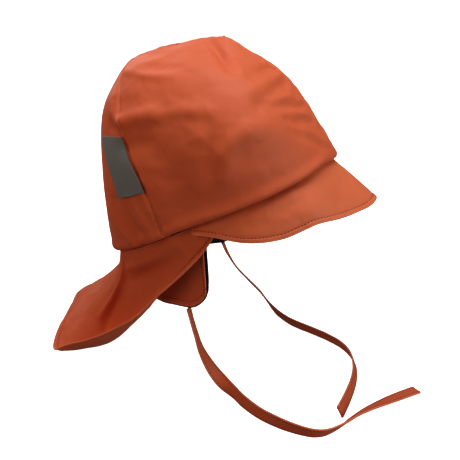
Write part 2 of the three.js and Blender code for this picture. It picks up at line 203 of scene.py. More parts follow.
# The finer creases, which only the cloth has: (deg, level, half width, height) along each one
CROWN_CREASES = {
    "ledge over the label": [
        (131.7, 5.78, 5, 0.7), (113.7, 5.93, 5, 0.6), (96, 6.05, 5, 1.6), (79, 5.85, 5, 1),
    ],
    "hollow under the ledge": [
        (132.8, 5.5, 4, -0.8), (114.5, 5.6, 4, -0.5), (99.8, 5.7, 4, -0.3), (83, 5.5, 4, -0.5),
    ],
    "back lobe": [(149.2, 6.5, 6, 1.2), (145, 6.05, 5, 1.6), (135.8, 5.76, 4, 1.4)],
    "hollow under the back lobe": [(143, 5.6, 4, -1.2), (135, 5.5, 4, -1.6)],
    "upper back ridge": [(152, 7.55, 3.5, 1), (123, 7.42, 3.5, 2), (101, 7.37, 4, 1.2)],
    "above the upper back ridge": [(128, 7.9, 4, -0.9), (112, 7.85, 4, -0.9), (96, 7.8, 5, -0.5)],
    "groove from the top": [(57, 9.4, 4.5, -2.4), (47, 8.33, 4.5, -4.2), (52, 7.3, 5.5, -3)],
    "beside the groove": [(44, 7.5, 6, 1.2), (50, 6.9, 7, 1)],
    "lump on the top seam": [(200, 9.6, 6, 1.2), (172, 9.4, 6, 1.2)],
    "dip on the top seam": [(188, 9.97, 4, -1), (165, 9.9, 4, -1)],
    "front pucker 1": [(2, 6.65, 3, -2), (12, 6.9, 4, -2), (37, 6.9, 5, -0.9)],
    "front pucker 2": [(5, 6.35, 4, 1.2), (27, 6.42, 5, 1.6), (56, 6.15, 8, 0.8)],
    "front pucker 3": [(9, 5.95, 4, -1.6), (31.5, 5.88, 5, -1.7), (46, 5.75, 6, -0.6)],
    "front pucker 4": [(12, 5.45, 4, 1.25), (34, 5.6, 5, 1.5)],
    "front pucker 5": [(6, 4.75, 3.5, -1.75), (22, 5.1, 4, -1.25), (35, 5.4, 5, -0.5)],
    "front pucker 6": [(10, 4.45, 3.5, 1.12), (30, 5.02, 4, 1)],
    "front pucker 7": [(6, 3.85, 3, -1.38), (19, 4.38, 4, -0.75)],
    "front pucker 8": [(34, 4.45, 3.5, 0.75), (14, 3.45, 3, 1.25), (5, 2.5, 3, 1)],
    "front pucker 9": [(32, 4, 4, -0.62), (18.5, 3.13, 3.5, -1.12), (11.5, 2.28, 3, -0.88)],
    "bow over the peak": [
        (78, 3.2, 8, 1.8), (75.5, 4.05, 8, 2.4), (70.5, 4.5, 8, 2), (62.8, 4.65, 8, 1.6),
        (49.8, 4.6, 8, 1.2), (38, 4, 8, 0.8),
    ],
    "fullness over the peak": [
        (98, 1.1, 9, 0.6), (84, 1.0, 9, 1.6), (60, 1.0, 9, 2), (36, 1.0, 9, 1.4), (20, 1.0, 8, 0.4),
    ],
    "hollow behind the bow": [(79, 5, 7, -0.8), (81.5, 4.3, 8, -1.8), (83.5, 3.6, 9, -1.6)],
    "hollow in the bow": [(66, 3.5, 9, -1), (52, 3.3, 9, -0.8)],
    "dent in the side": [(90.5, 5.55, 3.5, -0.2), (95, 5.3, 3.5, -0.4), (94.5, 5, 4, -0.3)],
    "side wrinkle 1": [(86, 4.97, 3, 0.5), (92, 4.93, 3, 0.5)],
    "side wrinkle 2": [(99, 4.7, 3.5, 0.6), (105, 4.2, 4, 0.6)],
    "side wrinkle 3": [(115, 4.3, 5, 0.6), (106, 4.02, 5, 0.6)],
    "side hollow": [(112, 3.95, 6, -0.6), (101, 3.7, 7, -0.7)],
    "back wrinkle 1": [(131, 3.4, 2, 0.6), (124, 2.55, 2, 1.2), (120.5, 1.65, 2, 1.2), (120, 0.5, 2, 0.6)],
    "back wrinkle 2": [(123.5, 2.85, 2, 0.4), (117.8, 2.02, 2, 0.6), (114.5, 0.9, 2, 0.4)],
    "back wrinkle 3": [(145, 2.8, 2.5, 0.6), (131.8, 1.85, 2, 1.2), (128, 0.6, 2, 0.6)],
    "between the back wrinkles": [(136, 3.25, 3, -0.8), (128.5, 2.2, 3, -1.2), (124.5, 0.9, 3, -0.8)],
}

# (deg, share of the way from the rim to the edge, half width, height)
PEAK_CREASES = {
    "lift by the crown": [(62, 0.3, 5, 0.8), (50, 0.25, 6, 0.9)],
    "dent by the side": [(74, 0.55, 4, -0.8), (68, 0.6, 5, -0.6)],
    "ripple by the rim": [(57, 0.5, 4, -0.5), (46, 0.45, 4, -0.6)],
    "middle ripple": [(48, 0.7, 5, 0.5), (34, 0.65, 6, 0.5)],
    "front ripple": [(30, 0.3, 6, 0.5), (18, 0.6, 6, 0.5)],
    "front dent": [(26, 0.7, 5, -0.5), (12, 0.45, 6, -0.5)],
}

# The same on the neck flap
FLAP_CREASES = {
    "ridge of the near fold": [
        (151, 0.02, 2.2, 0.8), (152.5, 0.12, 2.2, 2), (157, 0.2, 2.5, 3), (162.5, 0.3, 2.5, 3.2),
        (165.5, 0.44, 2.5, 3.2), (166, 0.56, 2.9, 2),
    ],
    "hollow beside the ridge": [
        (149, 0.12, 3.2, -1), (155, 0.25, 4, -1.7), (160, 0.38, 4, -2.4), (162, 0.5, 4, -2.4),
        (160, 0.62, 4, -1.7),
    ],
    "shoulder under the rim": [
        (106, 0.2, 4.5, 1.2), (116, 0.22, 5.4, 2.2), (132, 0.17, 5.4, 2.9), (149.5, 0.14, 3.6, 1.2),
    ],
    "hollow below the shoulder": [
        (106.8, 0.42, 5.4, -1.3), (117, 0.42, 6.3, -2.6), (133, 0.3, 6.3, -3.1), (150, 0.24, 4.5, -1.5),
    ],
    "hollow across the tail": [(184, 0.55, 6.3, -1.9), (175.8, 0.68, 6.3, -2.4), (170, 0.82, 5.4, -1.6)],
    "ripple on the tail": [(190, 0.75, 5.4, 1.2), (180, 0.85, 5.4, 1.4), (171, 0.92, 4.5, 1)],
    "far hollow": [(200, 0.4, 8, -1.2), (206, 0.7, 8, -1)],
}

# The peak's free edge, the same on both sides, how far it bows up, and its root against the rim
PEAK = Profile(
    ("deg", "edge_x", "edge_y", "edge_z", "bow", "outset", "lift"),
    [
        (0, 0, -126.5, 15, 0.5, -1, -0.4),
        (4, 6, -125.6, 14.4, 0.5, -1, -0.4),
        (9, 13, -122.6, 13, 0, -1, -0.4),
        (20, 27.7, -112.4, 12.4, 0, -1, -0.4),
        (32, 38.7, -100.7, 10.8, 1.5, -1, -0.4),
        (44, 50.4, -84, 9.1, 4, -1, -0.4),
        (54, 56.7, -72.6, 4.9, 4, -0.8, -0.4),
        (63, 63, -60, 0.5, 4, 0, -0.3),
        (72, 69, -45, -1.4, 3, 1.2, 0),
        (80, 73, -28, -1, 2, 1.7, 0.1),
        (88, 76.3, -10, 2.5, 1, 1.7, 0.1),
        (97, 77.3, 9, 4.4, 0, 1.7, 0.1),
    ],
)

# The neck flap's hem from the right front end round the back, and how it sags and curls
FLAP = Profile(
    ("deg", "hem_x", "hem_y", "hem_z", "upper_sag", "lower_sag", "curl", "inset"),
    [
        (80, -71, -10, 6, 0, 0, 0, 2.8),
        (92, -74.5, 1, -12, 0, 1, 1, 2.6),
        (104, -76, 18, -32, 1, 4, 2, 1),
        (116, -75, 38, -53, 4, 10, 4, 1),
        (128, -74, 58, -75, 8, 18, 9, 1),
        (140, -72, 84, -94, 13, 28, 13, 1),
        (149, -69, 106, -107, 18, 32, 16, 1),
        (157, -64, 127, -118, 22, 33, 13, 1),
        (161.5, -61.5, 137.5, -125, 22, 31.5, 9, 1),
        (165.5, -56, 143.5, -127.3, 22, 25, 4, 1),
        (168.5, -46, 146.3, -125, 21.5, 18, 1.5, 1),
        (172, -30, 148, -121.5, 21, 12, 0, 1),
        (180, -8, 151, -121.5, 20, 5, 0, 1),
        (188, 14, 153.5, -121.5, 20, 4, 0, 1),
        (193, 32, 156.3, -121.6, 20, 5, 0, 1),
        (198, 46, 152, -121, 20, 9, 1, 1),
        (203, 56, 140, -118.5, 20, 16, 3, 1),
        (211, 66, 110, -107, 17, 24, 6, 1),
        (220, 71, 86, -94, 13, 24, 7, 1),
        (232, 74, 58, -74, 8, 15, 7, 1),
        (244, 75, 38, -53, 4, 8, 4, 1),
        (256, 76, 18, -32, 1, 4, 2, 1),
        (268, 74.5, 1, -12, 0, 1, 1, 2.6),
        (280, 71, -10, 6, 0, 0, 0, 2.8),
    ],
)

# The ear flap's lower edge, from the front backwards, on the left; the right one is its mirror image
EAR_FLAP = Profile(
    ("deg", "edge_x", "edge_y", "edge_z", "bow"),
    [
        (91, 70.5, -1, -46, 0),
        (94, 69, 2, -56, 1),
        (98, 67.5, 9, -64, 2),
        (102, 66, 16, -67, 3),
        (110, 62, 29, -68, 5),
        (118, 57, 42, -69, 6),
        (126, 52, 54, -65, 6),
        (134, 48, 62, -54, 4),
    ],
)

# Each tie's route from its ear flap to its free end, and the way that its flat side faces
ROUTE_COLUMNS = ("x", "y", "z", "face_x", "face_y", "face_z")
TIE_ROUTES = {
    Side.RIGHT: [
        (-65.4, 15.7, -67.1, 0.05, -1, 0),
        (-67.5, 12, -80, 0.1, -1, 0),
        (-68, 9, -91, 0.1, -1, 0.05),
        (-68, 5, -105, -0.05, -1, 0.1),
        (-68.5, -3, -120, -0.4, -0.8, 0.3),
        (-72, -13.5, -130.5, -0.8, -0.5, 0.2),
        (-77.5, -24.5, -135.5, -0.95, 0.1, 0.1),
        (-86.5, -34, -136.5, -0.8, 0.55, 0.2),
        (-98.5, -49, -136.5, -0.85, 0.5, 0.1),
        (-106.5, -64.5, -136.5, -0.9, 0.4, 0),
        (-111.5, -78.5, -136.5, -0.95, 0.25, -0.15),
        (-114, -92.5, -136.5, -0.95, -0.1, -0.3),
        (-110.5, -103, -137, -0.75, -0.5, -0.45),
        (-100, -114, -137, -0.5, -0.6, -0.55),
        (-85, -124, -138, -0.4, -0.5, -0.7),
        (-70.5, -136, -139, -0.3, -0.3, -0.85),
        (-53, -153, -140.5, -0.15, -0.1, -1),
        (-41, -167.5, -140.5, -0.1, -0.05, -1),
        (-37, -172.5, -140.5, -0.1, -0.05, -1),
    ],
    Side.LEFT: [
        (65.4, 15.7, -67.1, -0.2, 1, 0),
        (67.5, 11, -80, -0.25, 0.95, -0.1),
        (66.5, 2, -94, -0.35, 0.9, -0.25),
        (64, -11, -106, -0.35, 0.8, -0.45),
        (62.5, -22, -116, -0.35, 0.75, -0.5),
        (60.5, -31, -126, -0.45, 0.7, -0.5),
        (56, -40.5, -134, -0.7, 0.6, -0.4),
        (48.5, -51, -136.5, -0.75, 0.55, -0.35),
        (41.5, -60.5, -136.5, -0.8, 0.5, -0.35),
        (32, -78.5, -136.5, -0.8, 0.45, -0.35),
        (24, -92.5, -136.5, -0.8, 0.5, -0.35),
        (14.5, -105, -136.5, -0.65, 0.65, -0.35),
        (2.5, -114, -136.5, -0.5, 0.8, -0.35),
        (-10.5, -118.5, -136.5, -0.3, 0.9, -0.35),
        (-24, -120.5, -136.5, -0.05, 0.95, -0.35),
        (-41.5, -120, -136.5, 0.1, 0.95, -0.35),
        (-60.5, -117, -136.5, 0.15, 0.9, -0.4),
        (-76, -113.5, -137, 0.25, 0.85, -0.45),
        (-84, -111.5, -137, 0.25, 0.85, -0.5),
    ],
}


def along_line(points: Grid, start: Grid, end: Grid) -> tuple[Grid, Grid]:
    """Sets points against a straight line.

    Args:
        points: places in millimetres.
        start: where the line starts.
        end: where it ends.

    Returns:
        The share of the line at which it passes each point, and how far off the point is.
    """
    along = end - start
    t = np.clip(((points - start) @ along) / (along @ along), 0, 1)
    return t, np.linalg.norm(points - start - t[..., None] * along, axis=-1)


@dataclass
class Crease:
    """A soft crease along a line of places, with a half width and a height (below 0, a hollow)."""

    places: Grid
    widths: Grid
    heights: Grid

    def lift(self, points: Grid) -> Grid:
        """Works out how far the crease lifts the cloth, from its nearest stretch.

        Args:
            points: places on the cloth.

        Returns:
            A height for each point.
        """
        nearest = np.full(points.shape[:-1], np.inf)
        result = np.zeros(points.shape[:-1])
        for k in range(len(self.places) - 1):
            t, off = along_line(points, self.places[k], self.places[k + 1])
            width = self.widths[k] + t * (self.widths[k + 1] - self.widths[k])
            height = self.heights[k] + t * (self.heights[k + 1] - self.heights[k])
            closer = off < nearest
            result = np.where(closer, height * bell(off, width), result)
            nearest = np.where(closer, off, nearest)
        return result


def creases_on(table: dict[str, list], place: Surface) -> list[Crease]:
    """Lays the creases of a table on a surface.

    Args:
        table: rows of two places, a half width and a height for each crease.
        place: gives the points at the two places.

    Returns:
        The creases.
    """
    result = []
    for rows in table.values():
        first, second, widths, heights = np.array(rows, float).T
        result.append(Crease(place(first, second), widths, heights))
    return result


def total_lift(creases: Sequence[Crease], points: Grid) -> Grid:
    """How far all the creases together lift the cloth at each point."""
    return sum((crease.lift(points) for crease in creases), np.zeros(points.shape[:-1]))


@dataclass
class CrownForm:
    """The form of the crown and of its rim, which the other pieces are sewn to.

    The cloth falls away on both sides of the top seam, as the ridge fields say, along a way outwards
    that is level at the rim and tilts in over the levels of tilt_in. The left side has the right
    side's creases, moved by left_shift and softened to left_share.
    """

    middle: tuple[float, float, float] = (0, 15, 35)
    ridge_fall: float = 9
    ridge_half_width: float = 20
    ridge_reach: float = 60
    ridge_back: tuple[float, float] = (-0.9, -0.3)
    ridge_top: tuple[float, float] = (7.5, 9)
    tilt_in: tuple[float, float] = (0, 4)
    full_fold_level: float = 2
    rim_step_deg: float = 4
    left_shift: tuple[float, float, float] = (0, 5, -4)
    left_share: float = 0.75

    def ring(self, deg: Grid, level: Grid) -> Grid:
        """A point on the smooth crown.

        Args:
            deg: the place round the crown.
            level: the ring, from 0 at the rim to 10 at the top.

        Returns:
            Points in millimetres.
        """
        row = CROWN.at(level)
        angle = np.radians(deg)
        c = np.cos(angle)

        def between(front: Grid, side: Grid, back: Grid) -> Grid:
            """Blends the three places that a ring passes."""
            return side + (front - back) / 2 * c + ((front + back) / 2 - side) * c * c

        point = np.stack([
            -row["side_x"] * np.sin(angle),
            between(row["front_y"], row["side_y"], row["back_y"]),
            between(row["front_z"], row["side_z"], row["back_z"]),
        ], axis=-1)
        away = np.abs(point[..., 0])
        rise = 1 - np.exp(-away / self.ridge_half_width)
        fall = self.ridge_fall * rise * np.exp(-away / self.ridge_reach)
        on_seam = np.maximum(smoothstep(c, *self.ridge_back), smoothstep(level, *self.ridge_top))
        outward = point - self.middle
        outward[..., 2] *= smoothstep(level, *self.tilt_in)
        return point - unit(outward) * (fall * on_seam)[..., None]

    def fold_height(self, point: Grid) -> Grid:
        """Works out how far the folds lift the cloth, the same on both sides.

        Args:
            point: places on the smooth crown.

        Returns:
            A height for each of them.
        """
        at = point.copy()
        at[..., 0] = -np.abs(at[..., 0])
        total = np.zeros(at.shape[:-1])
        for from_deg, from_level, to_deg, to_level, width, height in CROWN_FOLDS:
            start = self.ring(np.array(from_deg), np.array(from_level))
            end = self.ring(np.array(to_deg), np.array(to_level))
            total += height * bell(along_line(at, start, end)[1], width)
        return total

    def crease_height(self, point: Grid) -> Grid:
        """Works out how far the fine creases lift the cloth.

        Args:
            point: places on the crown's cloth.

        Returns:
            A height for each of them.
        """
        left = point[..., 0] > 0
        at = np.where(left[..., None], point * (-1, 1, 1) + self.left_shift, point)
        height = total_lift(creases_on(CROWN_CREASES, self.ring), at)
        return height * np.where(left, self.left_share, 1.0)

    def crown(self, deg: Grid, level: Grid) -> Grid:
        """A point on the crown's cloth, folds included.

        Args:
            deg: the place round the crown.
            level: the ring.

        Returns:
            Points in millimetres.
        """
        point = self.ring(deg, level)
        lift = self.fold_height(point) * np.minimum(1, np.asarray(level) / self.full_fold_level)
        return point + unit(point - self.middle) * lift[..., None]

    def rim_outward(self, deg: Grid) -> Grid:
        """The level way outwards at the rim, turning softly round its front corner.

        Args:
            deg: the place round the rim.

        Returns:
            Vectors of length 1.
        """
        zero = np.zeros_like(deg)
        ahead = self.ring(deg + self.rim_step_deg, zero) - self.ring(deg - self.rim_step_deg, zero)
        return unit(np.stack([-ahead[..., 1], ahead[..., 0], zero], axis=-1))

    def root(self, deg: Grid, outset: Grid, lift: Grid) -> Grid:
        """Where a piece is sewn under the rim.

        Args:
            deg: the place round the rim.
            outset: how far outside the rim it lies.
            lift: how far above it.

        Returns:
            Points in millimetres.
        """
        point = self.ring(deg, np.zeros_like(deg)) + self.rim_outward(deg) * np.asarray(outset)[..., None]
        point[..., 2] += lift
        return point


@dataclass
class ClothEdges:
    """How the four edges of a piece of cloth are finished, and the sizes of each finish in mm.

    A rolled rim is fullest at the sides, down to back_share at the back and flat at the front seam.
    """

    start: Edge = Edge.RAW
    end: Edge = Edge.RAW
    low: Edge = Edge.RAW
    high: Edge = Edge.RAW
    seam_depth: float = 1.6
    seam_width: float = 1.4
    pucker: float = 0.6
    pucker_grain: float = 5.5
    pucker_reach: float = 8.0
    pucker_seed: float = 7.3
    hem_width: float = 4.0
    hem_rise: float = 0.35
    hem_fade: tuple[float, float] = (-0.6, 0.9)
    hem_pucker_share: float = 0.5
    hem_pucker_reach: float = 5.0
    stitch_dip: float = 0.45
    dip_width: float = 0.7
    roll_bulge: float = 2.0
    roll_height: float = 7.5
    roll_spread: float = 4.5
    roll_tuck: float = 5.5
    tuck_height: float = 3.9
    back_share: float = 0.45
    back_y: tuple[float, float] = (20, 80)
    front_y: tuple[float, float] = (-20, 20)
    front_x: tuple[float, float] = (6, 36)

    def relief(self, finish: Edge, off: Grid, points: Grid) -> Grid:
        """The relief that the edges of one finish give the cloth.

        Args:
            finish: the edges' finish.
            off: the distance from the nearest of them.
            points: where the cloth lies.

        Returns:
            How far the cloth is lifted, in millimetres.
        """
        if finish is Edge.ROLLED:
            bulge = self.roll_bulge * bell(off - self.roll_height, self.roll_spread)
            away, back = np.abs(points[..., 0]), points[..., 1]
            share = 1 - (1 - self.back_share) * smoothstep(back, *self.back_y)
            share *= np.maximum(smoothstep(away, *self.front_x), smoothstep(back, *self.front_y))
            return share * (bulge - self.roll_tuck * bell(off, self.tuck_height))
        wave = soft_noise(points, self.pucker_grain, self.pucker_seed)
        if finish is Edge.SEAM:
            drawn = -self.seam_depth * bell(off, self.seam_width)
            return drawn + self.pucker * wave * bell(off, self.pucker_reach)
        past = off - self.hem_width
        full, flat = (self.hem_width + step for step in self.hem_fade)
        welt = self.hem_rise * (1 - smoothstep(off, full, flat))
        dip = -self.stitch_dip * bell(past, self.dip_width)
        return welt + dip + self.hem_pucker_share * self.pucker * wave * bell(past, self.hem_pucker_reach)


@dataclass(frozen=True)
class ClothFace:
    """A face of cloth in rows and columns: points, normals, and lengths across and up in mm."""

    points: Grid
    normals: Grid
    across: Grid
    up: Grid

    def edge_lengths(self) -> dict[str, Grid]:
        """How far each point lies from each of the four edges, by the edge's name."""
        across, up = self.across, self.up
        return {"start": across, "end": across[:, -1:] - across, "low": up, "high": up[-1:] - up}

    def line_along(self, side: str, inset: float) -> Grid:
        """The points of a row that runs along one edge.

        Args:
            side: start, end, low or high.
            inset: the row's distance from the edge in millimetres.

        Returns:
            Points in millimetres.
        """
        points, lengths = self.points, self.edge_lengths()[side]
        if side in ("low", "high"):
            points, lengths = np.swapaxes(points, 0, 1), lengths.T
        if side in ("end", "high"):
            points, lengths = points[:, ::-1], lengths[:, ::-1]
        return np.array([
            [np.interp(inset, length, row[:, k]) for k in range(3)] for row, length in zip(points, lengths)
        ])


def linked(name: str, data: bpy.types.ID) -> bpy.types.Object:
    """Puts a new object in the scene.

    Args:
        name: the object's name.
        data: its mesh, curve, light or camera.

    Returns:
        The object.
    """
    thing = bpy.data.objects.new(name, data)
    bpy.context.scene.collection.objects.link(thing)
    return thing


def cloth_object(name: str, points: Grid, faces: list, lengths: Grid, edge: Grid) -> bpy.types.Object:
    """Makes a smooth mesh with what the cloth's finishes read.

    Args:
        name: the piece's name.
        points: places in millimetres, one for each row.
        faces: the numbers of each face's points.
        lengths: the two lengths along the cloth at each point, for the UV map.
        edge: how far each point lies from the nearest edge.

    Returns:
        The new object, with a UV map in metres along the cloth.
    """
    mesh = bpy.data.meshes.new(name)
    mesh.from_pydata((points * MM).tolist(), [], faces)
    mesh.update()
    corner = np.empty(len(mesh.loops), np.int32)
    mesh.loops.foreach_get("vertex_index", corner)
    mesh.uv_layers.new(name="cloth").data.foreach_set("uv", (lengths * MM)[corner].ravel())
    mesh.attributes.new("edge_mm", "FLOAT", "POINT").data.foreach_set("value", edge)
    mesh.shade_smooth()
    return linked(name, mesh)


@dataclass
class Cloth:
    """A piece of cloth: a surface with two faces, soft wrinkles and finished edges.

    The surface is given from 0 to 1 across and up. Depth sinks the whole piece below it. The normals
    lean away from the inside by their steadiness, which keeps them steady where rows run together.
    """

    name: str
    surface: Surface
    inside: tuple[float, float, float]
    thickness: float
    edges: ClothEdges
    spacing: float = 1.8
    depth: float = 0.0
    wrinkle: float = 0.35
    wrinkle_grain: float = 26.0
    fine_share: float = 0.35
    fine_ratio: float = 3.0
    fine_seed: float = 5.0
    seed: float = 1.0
    steadiness: float = 0.2
    edge_bulge: float = 0.8
    creases: Callable[[Grid], Grid] | None = None
    near_edge: tuple[float, ...] = (0, 0.5, 1, 1.6, 2.3, 3, 3.5, 4, 4.5, 5.1, 6, 7.2, 8.8)
    edge_band: float = 0.4
    coarse_count: int = 60

    def _places(self, lengths: Grid) -> Grid:
        """Parameters from 0 to 1 across each row of cloth, closer together near both edges.

        Args:
            lengths: the length of each row in millimetres.

        Returns:
            One row of parameters for each length.
        """
        near = np.array(self.near_edge)
        count = max(3, round((float(lengths.max()) - 2 * near[-1]) / self.spacing))
        middle = np.linspace(0, 1, count + 1)[1:-1]
        rows = []
        for length in np.maximum(lengths, 1e-3):
            offsets = near * min(1.0, self.edge_band * length / near[-1]) / length
            span = 1 - 2 * offsets[-1]
            rows.append(np.concatenate([offsets, offsets[-1] + span * middle, (1 - offsets)[::-1]]))
        return np.array(rows)

    def _grid(self) -> tuple[Grid, Grid]:
        """Spaces the cloth's points by the lengths of its rows.

        Returns:
            The parameters across and up of each point, in rows and columns.
        """
        t = np.linspace(0, 1, self.coarse_count)
        coarse_u, coarse_v = np.meshgrid(t, t)
        coarse = self.surface(coarse_u, coarse_v)
        up = np.linalg.norm(np.diff(coarse, axis=0), axis=-1).sum(0)
        v = self._places(np.array([up.max()]))[0]
        across = np.linalg.norm(np.diff(coarse, axis=1), axis=-1).sum(1)
        u = self._places(np.interp(v, t, across))
        return u, np.repeat(v[:, None], u.shape[1], axis=1)

    @cached_property
    def face(self) -> ClothFace:
        """Lays out the outer face, with its wrinkles, creases and edge finishes.

        Returns:
            The face, whose lengths are those of the cloth before it wrinkles.
        """
        base = self.surface(*self._grid())
        out = self._normals(base)
        base = base - out * self.depth
        plain = ClothFace(base, out, self._lengths(base, 1), self._lengths(base, 0))
        lift = self.wrinkle * soft_noise(base, self.wrinkle_grain, self.seed)
        fine = soft_noise(base, self.wrinkle_grain / self.fine_ratio, self.seed + self.fine_seed)
        lift += self.fine_share * self.wrinkle * fine
        if self.creases:
            lift += self.creases(base)
        for finish in (Edge.SEAM, Edge.HEM, Edge.ROLLED):
            lengths = plain.edge_lengths().items()
            same = [length for side, length in lengths if getattr(self.edges, side) is finish]
            if same:
                lift += self.edges.relief(finish, np.minimum.reduce(same), base)
        points = base + out * lift[..., None]
        return ClothFace(points, self._normals(points), plain.across, plain.up)

    def _normals(self, points: Grid) -> Grid:
        """Works out which way the cloth faces, away from the inside.

        Args:
            points: the cloth's points, in rows and columns.

        Returns:
            A vector of length 1 at each point.
        """
        corners = np.cross(points[1:, 1:] - points[:-1, :-1], points[1:, :-1] - points[:-1, 1:])
        total = np.zeros_like(points)
        for rows in (slice(None, -1), slice(1, None)):
            for columns in (slice(None, -1), slice(1, None)):
                total[rows, columns] += corners
        middle = tuple(size // 2 for size in points.shape[:2])
        total *= np.sign(total[middle] @ (points[middle] - self.inside))
        return unit(total + self.steadiness * unit(points - self.inside))

    @staticmethod
    def _lengths(points: Grid, axis: int) -> Grid:
        """Measures along the cloth from its first row or column.

        Args:
            points: the cloth's points, in rows and columns.
            axis: 0 to measure up, 1 to measure across.

        Returns:
            A length at each point.
        """
        steps = np.linalg.norm(np.diff(points, axis=axis), axis=-1)
        pad = [(0, 0), (0, 0)]
        pad[axis] = (1, 0)
        return np.cumsum(np.pad(steps, pad), axis=axis)

    @staticmethod
    def _rim(rows: int, columns: int) -> tuple[Grid, Grid]:
        """Goes round the cloth's edge.

        Args:
            rows: the number of rows.
            columns: the number of columns.

        Returns:
            The row and the column of each point of the rim, in order.
        """
        last_row, last_column = rows - 1, columns - 1
        loop = [(0, i) for i in range(columns)]
        loop += [(j, last_column) for j in range(1, rows)]
        loop += [(last_row, i) for i in range(last_column - 1, -1, -1)]
        loop += [(j, 0) for j in range(last_row - 1, 0, -1)]
        at = np.array(loop)
        return at[:, 0], at[:, 1]

    def _rounds(self, inner: Grid, rim: tuple[Grid, Grid]) -> list[Grid]:
        """Rounds the edge over from the outer face to the inner one.

        Args:
            inner: the points of the inner face.
            rim: the row and the column of each point of the rim.

        Returns:
            Three rings of points.
        """
        outer = self.face.points
        rows, columns = outer.shape[:2]
        rim_out, rim_in, rim_normal = outer[rim], inner[rim], self.face.normals[rim]
        ahead = unit(np.roll(rim_out, -1, axis=0) - np.roll(rim_out, 1, axis=0))
        away = unit(np.cross(ahead, rim_normal))
        inward = outer[rows // 2, columns // 2] - rim_out[0]
        away *= -np.sign(away[0] @ inward)
        return [
            (rim_out + rim_in) / 2
            + self.thickness / 2 * (math.cos(turn) * rim_normal + self.edge_bulge * math.sin(turn) * away)
            for turn in (math.pi / 4, math.pi / 2, 3 * math.pi / 4)
        ]

    def build(self) -> bpy.types.Object:
        """Makes the closed cloth wall with round edges.

        Returns:
            The new object.
        """
        outer, normal = self.face.points, self.face.normals
        inner = outer - normal * self.thickness
        rows, columns = outer.shape[:2]
        rim = self._rim(rows, columns)
        rounds = self._rounds(inner, rim)
        count, rim_count = rows * columns, len(rim[0])
        index = np.arange(count).reshape(rows, columns)
        quads = np.stack([index[:-1, :-1], index[:-1, 1:], index[1:, 1:], index[1:, :-1]], axis=-1)
        quads = quads.reshape(-1, 4)
        turned = np.sum(np.cross(outer[1, 1] - outer[1, 0], outer[2, 1] - outer[1, 1]) * normal[1, 1]) < 0
        front, back = (quads[:, ::-1], quads) if turned else (quads, quads[:, ::-1])
        rings = [index[rim]]
        rings += [2 * count + k * rim_count + np.arange(rim_count) for k in range(len(rounds))]
        rings += [rings[0] + count]
        strips = []
        for a, b in zip(rings, rings[1:]):
            strip = np.stack([a, b, np.roll(b, -1), np.roll(a, -1)], axis=-1)
            strips.append(strip[:, ::-1] if turned else strip)

        def spread(values: Grid) -> Grid:
            """The values of the outer face, the inner face and the rim's rings."""
            return np.concatenate([values.ravel(), values.ravel(), *[values[rim]] * len(rounds)])

        points = np.concatenate([outer.reshape(-1, 3), inner.reshape(-1, 3), *rounds])
        lengths = np.stack([spread(self.face.across), spread(self.face.up)], axis=-1)
        edge = spread(np.minimum.reduce(list(self.face.edge_lengths().values())))
        faces = np.concatenate([front, back + count, *strips]).tolist()
        return cloth_object(self.name, points, faces, lengths, edge)


def set_inputs(node: bpy.types.Node, inputs: dict) -> None:
    """Sets a node's inputs.

    Args:
        node: the node.
        inputs: values, or sockets to link from, by the input's name or number.
    """
    for name, value in inputs.items():
        if isinstance(value, bpy.types.NodeSocket):
            node.id_data.links.new(value, node.inputs[name])
        else:
            node.inputs[name].default_value = value


def add_node(tree: bpy.types.NodeTree, kind: str, inputs: dict | None = None, **settings) -> bpy.types.Node:
    """Adds a node with its settings, values and links.

    Args:
        tree: the material's or the geometry's node tree.
        kind: the node's type name.
        inputs: values, or sockets to link from, by the input's name or number.
        **settings: the node's own properties.

    Returns:
        The new node.
    """
    node = tree.nodes.new(kind)
    for name, value in settings.items():
        setattr(node, name, value)
    set_inputs(node, inputs or {})
    return node


def new_material(name: str) -> tuple[bpy.types.Material, bpy.types.NodeTree, bpy.types.Node]:
    """Starts a material.

    Args:
        name: its name.

    Returns:
        The material, its tree and its shader.
    """
    material = bpy.data.materials.new(name)
    material.use_nodes = True
    return material, material.node_tree, material.node_tree.nodes["Principled BSDF"]


# A Mix node's inputs and output for colours share their names with others, so they go by number
MIX_SHARE, MIX_FIRST, MIX_SECOND, MIX_COLOUR = 0, 6, 7, 2

# At scale 1 a Wave texture's bands, and the gaps between them, are each about 1 / 6.28 of a unit wide
BANDS_PER_UNIT = 6.28


